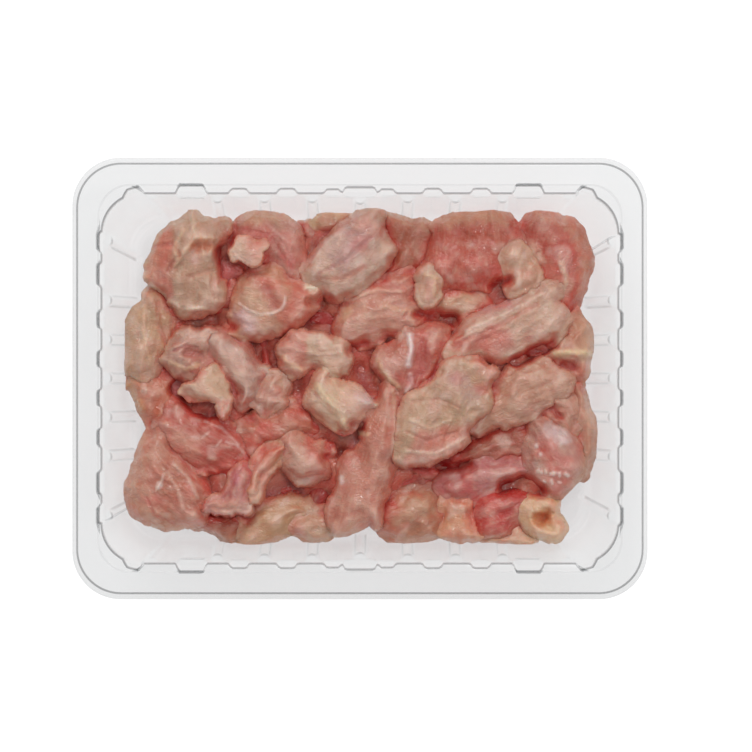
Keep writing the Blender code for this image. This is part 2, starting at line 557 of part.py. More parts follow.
def build_bed():
    """The packed meat that shows deep in the gaps, as one lumpy slab on the tray's floor."""
    count, shares = 48, (0.25, 0.5, 0.75)
    rng = np.random.default_rng(5)
    verts, faces = [], []

    def loop(z, share):
        hx, hy = (h - RIB_DEPTH - 1.6 for h in wall_half(z))
        for i in range(count):
            a = 2 * math.pi * i / count
            c, s = math.cos(a), math.sin(a)
            reach = (abs(c / hx) ** 6 + abs(s / hy) ** 6) ** (-1 / 6)
            lump = 1.0 + 0.5 * math.sin(7 * a + 5 * share) if share < 1 else 0.0
            verts.append((share * reach * c, share * reach * s, z - lump * rng.random()))

    loop(BED_BASE, 0.93)
    for i in range(count):
        verts[i] = (verts[i][0], verts[i][1], BED_BASE)
    loop(BED_BASE + 4.0, 1.0)
    loop(BED_TOP - 2.5, 0.98)
    for share in reversed(shares):
        loop(BED_TOP, share)
    levels = 3 + len(shares)
    for level in range(levels - 1):
        for i in range(count):
            j = (i + 1) % count
            a, b = level * count, (level + 1) * count
            faces.append((a + i, a + j, b + j, b + i))
    verts += [(0, 0, BED_BASE), (0, 0, BED_TOP)]
    for i in range(count):
        j = (i + 1) % count
        faces.append((j, i, levels * count))
        faces.append(((levels - 1) * count + i, (levels - 1) * count + j, levels * count + 1))
    return new_object("lower_layer", verts, faces, material("meat_lower_layer", (150, 64, 58), 0.4))


def build_heap():
    placed, stars = [], []
    order = sorted(PIECES, key=lambda name: -PIECES[name][0])
    for name in order:
        top, drop, _, points = PIECES[name]
        edge = top - drop
        outline = [(HEAP_SCALE * x + HEAP_SHIFT[0], HEAP_SCALE * y + HEAP_SHIFT[1])
                   for x, y in points]
        outline = [clamped(p, edge, WALL_GAP) for p in outline]
        perimeter = spline(outline, 8)[1]
        count = int(max(MIN_SPOKES, min(MAX_SPOKES, round(perimeter / SPOKE_SPACING))))
        curve = spline(outline, count)[0]
        centre = best_centre(curve, placed)
        angle, reach = star_outline(curve, centre)
        reach, clear = trimmed(angle, reach, centre, placed)
        if not clear or len(angle) < 6:
            print("still touches:", name, len(angle))
        heading = np.column_stack([np.cos(angle), np.sin(angle)])
        placed.append(centre + heading * reach[:, None])
        stars.append((angle, reach, centre))
    grown(stars, [PIECES[name][0] for name in order])
    for index, name in enumerate(order):
        top, drop, colour, _ = PIECES[name]
        rng = np.random.default_rng(100 + index)
        build_piece(name, top, drop, colour, *stars[index], rng)


for old in list(bpy.data.objects):
    bpy.data.objects.remove(old)
build_tray()
build_bed()
build_heap()
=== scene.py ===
"""Open clear tray of raw chicken pieces: the visual model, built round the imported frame."""
import json
import math

import bpy
import numpy as np
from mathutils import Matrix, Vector


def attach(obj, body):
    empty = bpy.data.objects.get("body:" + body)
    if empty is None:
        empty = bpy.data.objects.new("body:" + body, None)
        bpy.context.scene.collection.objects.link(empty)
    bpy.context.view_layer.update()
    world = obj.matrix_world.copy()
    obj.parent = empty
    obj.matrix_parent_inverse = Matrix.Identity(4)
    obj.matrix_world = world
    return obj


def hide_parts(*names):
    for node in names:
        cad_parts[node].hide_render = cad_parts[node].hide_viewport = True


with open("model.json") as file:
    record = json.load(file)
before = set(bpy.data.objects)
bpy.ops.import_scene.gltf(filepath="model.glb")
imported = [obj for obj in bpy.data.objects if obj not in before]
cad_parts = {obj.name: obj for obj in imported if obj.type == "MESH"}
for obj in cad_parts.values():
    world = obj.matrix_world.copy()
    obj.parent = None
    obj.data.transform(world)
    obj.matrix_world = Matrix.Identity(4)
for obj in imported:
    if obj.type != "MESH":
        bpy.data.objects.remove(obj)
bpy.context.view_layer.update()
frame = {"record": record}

MM = 0.001
RECORD = frame["record"]
BASE_COLOUR = {m["slot"]: m["base_color"][:3] for m in RECORD["materials"]}
SLOT = {s["node"]: s["material_slot"] for s in RECORD["subparts"]}

# Tray sizes, in millimetres
HEIGHT = 45.0
SHEET = 0.45
OUTER_HALF = (94.75, 72.75)
LINE_HALF = (93.2, 70.85)
LEDGE_HALF = (86.0, 63.6)
MOUTH_HALF = (84.9, 60.8)
FLOOR_HALF = (76.5, 53.5)
OUTER_RADIUS, LINE_RADIUS, LEDGE_RADIUS, MOUTH_RADIUS, FLOOR_RADIUS = 16.0, 14.6, 10.5, 13.0, 11.0
LONG_RIBS = (0.0, 15.8, 31.6, 47.1, 69.5)
SHORT_RIBS = (0.0, 12.8, 25.8, 46.0)
# (place along the side, half length, reach outward)
LONG_LUGS = ((0.0, 5.9, 1.9), (8.9, 3.1, 1.3), (24.0, 3.5, 1.5), (39.8, 3.5, 1.5),
             (55.5, 5.1, 2.6))
CORNER_LUG = (74.6, 3.3, 2.0)
LUG_SLOPE = 1.5
RIB_HALF = 2.1
CORNER_RIB_DEPTH = 0.45  # the long sides' outermost ribs are shallower
SHORT_LUGS = ((6.4, 3.2, 1.0), (19.4, 3.3, 1.0), (34.2, 4.1, 1.1), (44.9, 3.6, 1.1))


# Small helpers

def smoothstep(x, low, high):
    """0 below low, 1 above high, and a smooth ramp between them."""
    t = np.clip((np.asarray(x, float) - low) / (high - low), 0.0, 1.0)
    return t * t * (3.0 - 2.0 * t)


def noise(points, size, seed):
    """Smooth value noise from -1 to 1 with cells of this size, at each point."""
    table = np.random.default_rng(seed).random(4096) * 2.0 - 1.0
    q = np.asarray(points, float) / size
    cell = np.floor(q).astype(np.int64)
    t = q - cell
    t = t * t * (3.0 - 2.0 * t)
    total = np.zeros(len(q))
    for dx in (0, 1):
        for dy in (0, 1):
            for dz in (0, 1):
                key = ((cell[:, 0] + dx) * 73856093 ^ (cell[:, 1] + dy) * 19349663
                       ^ (cell[:, 2] + dz) * 83492791)
                share = ((t[:, 0] if dx else 1 - t[:, 0]) * (t[:, 1] if dy else 1 - t[:, 1])
                         * (t[:, 2] if dz else 1 - t[:, 2]))
                total += share * table[key % 4096]
    return total


def srgb(*colour):
    """Linear numbers for a colour given from 0 to 255."""
    c = np.asarray(colour, float) / 255.0
    return np.where(c <= 0.04045, c / 12.92, ((c + 0.055) / 1.055) ** 2.4)


def new_mesh(name, verts_mm, faces, material):
    """A smooth-shaded object from points in millimetres and quads."""
    mesh = bpy.data.meshes.new(name)
    verts = np.asarray(verts_mm, np.float32) * MM
    faces = np.asarray(faces, np.int32)
    mesh.vertices.add(len(verts))
    mesh.vertices.foreach_set("co", verts.ravel())
    mesh.loops.add(faces.size)
    mesh.loops.foreach_set("vertex_index", faces.ravel())
    mesh.polygons.add(len(faces))
    mesh.polygons.foreach_set("loop_start", np.arange(len(faces), dtype=np.int32) * faces.shape[1])
    mesh.update(calc_edges=True)
    mesh.polygons.foreach_set("use_smooth", np.ones(len(faces), bool))
    mesh.materials.append(material)
    piece = bpy.data.objects.new(name, mesh)
    bpy.context.scene.collection.objects.link(piece)
    return piece


def paint(piece, name, colours):
    """A colour for each vertex, in linear numbers."""
    layer = piece.data.color_attributes.new(name, "FLOAT_COLOR", "POINT")
    rgba = np.ones((len(colours), 4), np.float32)
    rgba[:, :3] = np.clip(colours, 0.0, 1.0)
    layer.data.foreach_set("color", rgba.ravel())


def vertex_normals(verts, faces):
    """Each vertex's normal, from the quads round it."""
    cross = np.cross(verts[faces[:, 2]] - verts[faces[:, 0]],
                     verts[faces[:, 3]] - verts[faces[:, 1]])
    normals = np.zeros_like(verts)
    for k in range(4):
        np.add.at(normals, faces[:, k], cross)
    return normals / np.maximum(np.linalg.norm(normals, axis=1, keepdims=True), 1e-12)


def blurred(grid, sigma):
    """A grid blurred by this many cells, with its edges held."""
    reach = int(3 * sigma) + 1
    kernel = np.exp(-0.5 * (np.arange(-reach, reach + 1) / sigma) ** 2)
    kernel /= kernel.sum()
    for axis in (0, 1):
        padded = np.pad(grid, [(reach, reach) if a == axis else (0, 0) for a in (0, 1)], mode="edge")
        grid = sum(k * np.take(padded, range(i, i + grid.shape[axis]), axis=axis)
                   for i, k in enumerate(kernel))
    return grid


# Materials

def nodes_of(name):
    """A new material and its empty node tree."""
    made = bpy.data.materials.new(name)
    made.use_nodes = True
    tree = made.node_tree
    tree.nodes.clear()
    return made, tree


def add(tree, kind, **settings):
    """A new node, with its settings and inputs given by name."""
    node = tree.nodes.new(kind)
    for key, value in settings.items():
        if isinstance(value, (int, float, tuple)) and key in node.inputs:
            node.inputs[key].default_value = value
        else:
            setattr(node, key, value)
    return node


def scaled_noise(tree, coords, scale, detail, rough, stretch=(1, 1, 1)):
    """A noise texture's value over these coordinates."""
    mapping = add(tree, "ShaderNodeMapping")
    mapping.inputs["Scale"].default_value = stretch
    tree.links.new(coords, mapping.inputs["Vector"])
    made = add(tree, "ShaderNodeTexNoise")
    made.inputs["Scale"].default_value = scale
    made.inputs["Detail"].default_value = detail
    made.inputs["Roughness"].default_value = rough
    tree.links.new(mapping.outputs["Vector"], made.inputs["Vector"])
    return made.outputs["Fac"]


def mapped(tree, value, low, high, to_low, to_high):
    """A value's range from low to high, mapped onto another range."""
    made = add(tree, "ShaderNodeMapRange")
    for key, number in (("From Min", low), ("From Max", high), ("To Min", to_low),
                        ("To Max", to_high)):
        made.inputs[key].default_value = number
    tree.links.new(value, made.inputs["Value"])
    return made.outputs["Result"]


def meat_material(name):
    """Moist raw chicken: painted colour, broken up by fine fibres and specks, under a wet film."""
    made, tree = nodes_of(name)
    link = tree.links.new
    coords = add(tree, "ShaderNodeTexCoord").outputs["Object"]
    tone = add(tree, "ShaderNodeAttribute", attribute_name="tone").outputs["Color"]
    grain = add(tree, "ShaderNodeAttribute", attribute_name="grain").outputs["Vector"]
    fine = scaled_noise(tree, coords, 900.0, 3.0, 0.6)
    mottle = scaled_noise(tree, coords, 260.0, 4.0, 0.6)
    fibre = scaled_noise(tree, grain, 1.0, 3.0, 0.55)
    light = mapped(tree, mottle, 0.3, 0.7, 0.93, 1.06)
    lit = add(tree, "ShaderNodeVectorMath", operation="SCALE")
    link(tone, lit.inputs[0])
    link(light, lit.inputs["Scale"])
    pale = add(tree, "ShaderNodeMix", data_type="RGBA")
    pale.inputs[7].default_value = (*srgb(226, 196, 172), 1.0)
    link(mapped(tree, fibre, 0.5, 0.78, 0.0, 0.2), pale.inputs["Factor"])
    link(lit.outputs["Vector"], pale.inputs[6])
    warm = add(tree, "ShaderNodeMix", data_type="RGBA")
    warm.inputs[7].default_value = (*srgb(196, 104, 88), 1.0)
    link(mapped(tree, fibre, 0.46, 0.25, 0.0, 0.16), warm.inputs["Factor"])
    link(pale.outputs[2], warm.inputs[6])
    skin = add(tree, "ShaderNodeBsdfPrincipled")
    link(warm.outputs[2], skin.inputs["Base Color"])
    skin.inputs["Subsurface Weight"].default_value = 0.35
    skin.inputs["Subsurface Radius"].default_value = (1.0, 0.35, 0.2)
    skin.inputs["Subsurface Scale"].default_value = 0.0028
    skin.inputs["IOR"].default_value = 1.4
    skin.inputs["Specular IOR Level"].default_value = 0.42
    skin.inputs["Coat Weight"].default_value = 0.6
    skin.inputs["Coat Roughness"].default_value = 0.11
    skin.inputs["Coat IOR"].default_value = 1.36
    link(mapped(tree, mottle, 0.3, 0.7, 0.27, 0.45), skin.inputs["Roughness"])
    height = add(tree, "ShaderNodeMath", operation="ADD")
    link(fibre, height.inputs[0])
    link(mapped(tree, fine, 0.0, 1.0, 0.0, 0.35), height.inputs[1])
    furrow = add(tree, "ShaderNodeMath", operation="ABSOLUTE")
    link(mapped(tree, scaled_noise(tree, coords, 420.0, 2.0, 0.5, (1.0, 1.5, 1.0)),
                0.0, 1.0, -4.0, 4.0), furrow.inputs[0])
    both = add(tree, "ShaderNodeMath", operation="ADD")
    link(height.outputs["Value"], both.inputs[0])
    link(mapped(tree, furrow.outputs["Value"], 0.0, 1.0, 0.8, 0.0), both.inputs[1])
    bump = add(tree, "ShaderNodeBump")
    bump.inputs["Strength"].default_value = 0.5
    bump.inputs["Distance"].default_value = 0.00028
    link(both.outputs["Value"], bump.inputs["Height"])
    link(bump.outputs["Normal"], skin.inputs["Normal"])
    link(bump.outputs["Normal"], skin.inputs["Coat Normal"])
    out = add(tree, "ShaderNodeOutputMaterial")
    link(skin.outputs["BSDF"], out.inputs["Surface"])
    return made


def plastic_material():
    """Clear sheet: nearly all see-through face on, greyer where it stands steep, with a gloss, and
    painted shade lines along its bends.
    """
    made, tree = nodes_of("clear_sheet")
    link = tree.links.new
    coords = add(tree, "ShaderNodeTexCoord").outputs["Object"]
    facing = add(tree, "ShaderNodeLayerWeight")
    facing.inputs["Blend"].default_value = 0.5
    steep = add(tree, "ShaderNodeMath", operation="POWER")
    link(facing.outputs["Facing"], steep.inputs[0])
    steep.inputs[1].default_value = 3.0
    clear = add(tree, "ShaderNodeBsdfTransparent")
    normal = add(tree, "ShaderNodeNewGeometry").outputs["True Normal"]
    parts = add(tree, "ShaderNodeSeparateXYZ")
    link(normal, parts.inputs["Vector"])
    flat = add(tree, "ShaderNodeMath", operation="ABSOLUTE")
    link(parts.outputs["Z"], flat.inputs[0])
    smoke = add(tree, "ShaderNodeMix", data_type="RGBA")
    smoke.inputs[6].default_value = (0.92, 0.923, 0.925, 1.0)
    smoke.inputs[7].default_value = (0.875, 0.878, 0.88, 1.0)
    link(mapped(tree, flat.outputs["Value"], 0.3, 0.9, 0.0, 1.0), smoke.inputs["Factor"])
    link(smoke.outputs[2], clear.inputs["Color"])
    body = add(tree, "ShaderNodeBsdfPrincipled")
    body.inputs["Roughness"].default_value = 0.12
    cloudy = scaled_noise(tree, coords, 60.0, 2.0, 0.5)
    bump = add(tree, "ShaderNodeBump")
    bump.inputs["Strength"].default_value = 0.12
    bump.inputs["Distance"].default_value = 0.0004
    link(cloudy, bump.inputs["Height"])
    link(bump.outputs["Normal"], body.inputs["Normal"])
    sheer = mapped(tree, steep.outputs["Value"], 0.0, 1.0, 0.07, 0.26)
    # The line attribute is painted shade: dark grey lines along the sheet's bends, rib sides and lug
    # edges, where refraction darkens clear plastic
    line = add(tree, "ShaderNodeAttribute", attribute_name="line").outputs["Fac"]
    share = add(tree, "ShaderNodeMath", operation="MAXIMUM")
    link(sheer, share.inputs[0])
    link(mapped(tree, line, 0.0, 1.0, 0.0, 0.62), share.inputs[1])
    share = share.outputs["Value"]
    # Painted shade: the body turns dark grey along those lines
    tint = add(tree, "ShaderNodeMix", data_type="RGBA")
    link(line, tint.inputs["Factor"])
    tint.inputs[6].default_value = (*srgb(222, 223, 224), 1.0)
    tint.inputs[7].default_value = (*srgb(84, 86, 88), 1.0)
    link(tint.outputs[2], body.inputs["Base Color"])
    mix = add(tree, "ShaderNodeMixShader")
    link(share, mix.inputs[0])
    link(clear.outputs["BSDF"], mix.inputs[1])
    link(body.outputs["BSDF"], mix.inputs[2])
    out = add(tree, "ShaderNodeOutputMaterial")
    link(mix.outputs["Shader"], out.inputs["Surface"])
    return made


def floor_material():
    """The stage's floor: matt white, and slightly self-lit so that it renders as plain white."""
    made, tree = nodes_of("floor_white")
    coords = add(tree, "ShaderNodeTexCoord").outputs["Object"]
    speck = scaled_noise(tree, coords, 30.0, 2.0, 0.5)
    skin = add(tree, "ShaderNodeBsdfPrincipled")
    skin.inputs["Base Color"].default_value = (0.45, 0.45, 0.45, 1.0)
    skin.inputs["Emission Color"].default_value = (1.0, 1.0, 1.0, 1.0)
    skin.inputs["Emission Strength"].default_value = 0.80
    tree.links.new(mapped(tree, speck, 0.0, 1.0, 0.55, 0.7), skin.inputs["Roughness"])
    out = add(tree, "ShaderNodeOutputMaterial")
    tree.links.new(skin.outputs["BSDF"], out.inputs["Surface"])
    return made


# Tray

def wall_half(z):
    """Half the tray's inner length and width at this height, ribs left out."""
    share = (np.asarray(z, float) - SHEET) / (HEIGHT - 1.8 - SHEET)
    return (FLOOR_HALF[0] + (MOUTH_HALF[0] - FLOOR_HALF[0]) * share,
            FLOOR_HALF[1] + (MOUTH_HALF[1] - FLOOR_HALF[1]) * share)


def tray_stations():
    """Places round the tray as (kind, side, distance or share), the same for every ring."""
    found = []
    step = 0.75
    long_end, short_end = MOUTH_HALF[0] - MOUTH_RADIUS, MOUTH_HALF[1] - MOUTH_RADIUS
    corner = 26
    sides = (("x", 1, short_end, 0), ("y", 1, long_end, 90), ("x", -1, short_end, 180),
             ("y", -1, long_end, 270))
    for axis, sign, end, start in sides:
        count = int(2 * end / step)
        for i in range(count):
            found.append((axis, sign, -end + 2 * end * i / count))
        for i in range(corner):
            found.append(("c", start, i / corner))
    return found


STATIONS = tray_stations()


def bump_share(place, centre, half, soft):
    """1 near a lug's or rib's middle, 0 outside it, with sloped ends."""
    return float(smoothstep(half - abs(place - centre), -soft / 2, soft / 2))


def side_detail(axis, place, side):
    """How far in the ribs stand, from 0 to 1, and how far out the lugs reach, in millimetres."""
    if axis == "c":
        a = math.radians(side + 90.0 * place)
        if abs(math.sin(a)) < abs(math.cos(a)):
            return 0.0, 0.0
        across = MOUTH_HALF[0] - MOUTH_RADIUS * (1 - abs(math.cos(a)))
        centre, half, reach = CORNER_LUG
        return 0.0, reach * bump_share(across, centre, half - 0.6, LUG_SLOPE)
    ribs = LONG_RIBS if axis == "y" else SHORT_RIBS
    lugs = (*LONG_LUGS, CORNER_LUG) if axis == "y" else SHORT_LUGS
    rib, lug = 0.0, 0.0
    for centre in ribs:
        away = abs(abs(place) - centre)
        if away < RIB_HALF:
            full = CORNER_RIB_DEPTH if centre > 60 else 1.0
            rib = max(rib, full * math.sqrt(1.0 - (away / RIB_HALF) ** 2))
    for centre, half, reach in lugs:
        lug = max(lug, reach * bump_share(abs(place), centre, half - 0.6, LUG_SLOPE))
    return rib, lug


def ring(half, radius, z, rib_depth=0.0, lug_out=0.0):
    """One loop round the tray, with the same stations in the same order on every loop."""
    hx, hy = half
    straight = {"x": hy - radius, "y": hx - radius}
    top = {"x": MOUTH_HALF[1] - MOUTH_RADIUS, "y": MOUTH_HALF[0] - MOUTH_RADIUS}
    plumb = {"x": 30.0, "y": 50.0}
    verts = []
    for kind, side, place in STATIONS:
        rib, lug = side_detail(kind, place, side)
        if kind == "c":
            a = math.radians(side + 90.0 * place)
            cx = math.copysign(hx - radius, math.cos(math.radians(side + 45)))
            cy = math.copysign(hy - radius, math.sin(math.radians(side + 45)))
            out = math.copysign(lug_out * lug, cy)
            verts.append((cx + radius * math.cos(a), cy + radius * math.sin(a) + out, z))
            continue
        along = place
        if abs(place) > plumb[kind]:
            share = (abs(place) - plumb[kind]) / (top[kind] - plumb[kind])
            along = math.copysign(plumb[kind] + share * (straight[kind] - plumb[kind]), place)
        out = -rib_depth * rib + lug_out * lug
        if kind == "x":
            verts.append((side * (hx + out), side * along, z))
        else:
            verts.append((-side * along, side * (hy + out), z))
    return verts


def inset(half, by):
    """A half length and half width made smaller all round."""
    return half[0] - by, half[1] - by


def build_tray(material):
    """The sheet as loops from the lip, over the flange and down the ribbed wall to the floor, with
    painted shade lines along its bends.
    """
    rib_share, lug_share = [], []
    for kind, side, place in STATIONS:
        rib, lug = side_detail(kind, place, side)
        rib_share.append(rib)
        lug_share.append(min(1.0, lug / 1.2))
    rib_share, lug_share = np.array(rib_share), np.array(lug_share)
    # Painted shade along the sides of the ribs, where the sheet bends most
    rib_side_shade = np.where(rib_share > 0, smoothstep(1.0 - rib_share, 0.0, 0.45), 0.0)
    rib_side_shade *= [kind == "x" or abs(place) < 60 for kind, _, place in STATIONS]
    plain = np.ones(len(STATIONS))
    loops, line = [], []

    # Each loop's painted shade: how dark a line is painted along it, for the line attribute
    def loop(half, radius, z, rib_depth=0.0, lug_out=0.0, painted_shade=0.0, where=plain):
        loops.append(ring(half, radius, z, rib_depth, lug_out))
        line.append(painted_shade * where)

    low = HEIGHT - 2.6
    loop(OUTER_HALF, OUTER_RADIUS, low)
    loop(OUTER_HALF, OUTER_RADIUS, low + 0.6)
    for t in (0.3, 0.65, 1.0):
        a = t * math.pi / 2
        back = 1.3 * (1 - math.cos(a))
        loop(inset(OUTER_HALF, back), OUTER_RADIUS - back * 0.9, low + 0.6 + 1.1 * math.sin(a))
    loop(inset(LINE_HALF, -0.22), LINE_RADIUS + 0.2, HEIGHT - 0.9, painted_shade=0.15)
    loop(inset(LINE_HALF, -0.02), LINE_RADIUS, HEIGHT - 0.75, painted_shade=1.0)
    loop(inset(LINE_HALF, 0.16), LINE_RADIUS - 0.1, HEIGHT - 0.2, painted_shade=1.0)
    loop(inset(LINE_HALF, 0.40), LINE_RADIUS - 0.2, HEIGHT, painted_shade=0.1)
    loop(inset(LINE_HALF, 1.0), LINE_RADIUS - 0.6, HEIGHT)
    loop(inset(LEDGE_HALF, -0.5), LEDGE_RADIUS, HEIGHT)
    loop(inset(LEDGE_HALF, -0.15), LEDGE_RADIUS, HEIGHT - 0.02, painted_shade=0.22)
    loop(inset(LEDGE_HALF, 0.15), LEDGE_RADIUS, HEIGHT - 0.3, painted_shade=0.22)
    loop(inset(LEDGE_HALF, 0.5), LEDGE_RADIUS, HEIGHT - 0.38)
    for back, down, painted_shade in ((-0.42, 0.42, 0.0), (-0.15, 0.5, 0.85), (0.12, 0.95, 0.85),
                             (0.34, 1.6, 0.1)):
        loop(inset(MOUTH_HALF, back), MOUTH_RADIUS, HEIGHT - down, 0.0, 1.0, painted_shade)
    z = HEIGHT - 3.0
    loop(wall_half(z), MOUTH_RADIUS, z, 0.0, 0.35)
    z = HEIGHT - 3.9
    loop(inset(wall_half(z), -0.1), MOUTH_RADIUS, z, 0.0, -0.32)
    loop(inset(wall_half(z), 0.05), MOUTH_RADIUS, z - 0.25, 0.0, -0.4)
    loop(inset(wall_half(z), 0.08), MOUTH_RADIUS, z - 0.4, 0.0, -0.42, 0.8, lug_share)
    loop(inset(wall_half(z), 0.09), MOUTH_RADIUS, z - 0.6, 0.0, -0.42)
    z = HEIGHT - 5.6
    loop(wall_half(z), MOUTH_RADIUS - 0.2, z, 0.0, -0.3)
    for depth, down, painted_shade in ((0.9, 0.2, 0.0), (1.75, 0.45, 0.1), (2.05, 0.75, 0.8),
                              (2.1, 1.1, 0.7), (2.1, 1.4, 0.15)):
        loop(wall_half(z - down), MOUTH_RADIUS - 0.2, z - down, depth, -0.25, painted_shade, rib_share)
    for z in (33.0, 27.0, 21.0, 15.0, 9.0, 5.0):
        share = (z - SHEET) / (HEIGHT - 1.8 - SHEET)
        loop(wall_half(z), FLOOR_RADIUS + (MOUTH_RADIUS - FLOOR_RADIUS) * share, z, 2.0,
             -0.1 if z > 30 else 0.0, 0.5, rib_side_shade)
    for z, back, depth in ((2.6, 0.7, 1.6), (1.3, 2.0, 0.8), (0.6, 4.0, 0.0)):
        loop(inset(FLOOR_HALF, back), FLOOR_RADIUS - back * 0.4, z, depth)
    edge = loops[-1]
    for share in (0.8, 0.55, 0.28):
        loops.append([(x * share, y * share, 0.5) for x, y, _ in edge])
        line.append(0.0 * plain)
    count, rows = len(STATIONS), len(loops)
    verts = np.array([v for r in loops for v in r] + [(0.0, 0.0, 0.5)])
    i = np.arange(count)
    j = (i + 1) % count
    quads = np.vstack([np.column_stack([r * count + i, r * count + j, (r + 1) * count + j,
                                        (r + 1) * count + i]) for r in range(rows - 1)])
    last = (rows - 1) * count
    tris = np.column_stack([last + i, last + j, np.full(count, rows * count)])
    mesh = bpy.data.meshes.new("clear_tray")
    mesh.from_pydata((verts * MM).tolist(), [], quads.tolist() + tris.tolist())
    mesh.polygons.foreach_set("use_smooth", np.ones(len(mesh.polygons), bool))
    mesh.materials.append(material)
    piece = bpy.data.objects.new("clear_tray", mesh)
    bpy.context.scene.collection.objects.link(piece)
    # The painted shade lines, kept in the line attribute
    painted_shade = np.concatenate([np.concatenate(line), [0.0]])
    paint(piece, "line", np.repeat(painted_shade[:, None], 3, axis=1))
    sheet = piece.modifiers.new("sheet", "SOLIDIFY")
    sheet.thickness = SHEET * MM
    sheet.offset = 1.0 if mesh.polygons[-1].normal.z < 0 else -1.0
    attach(piece, "root")
    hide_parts("tray")


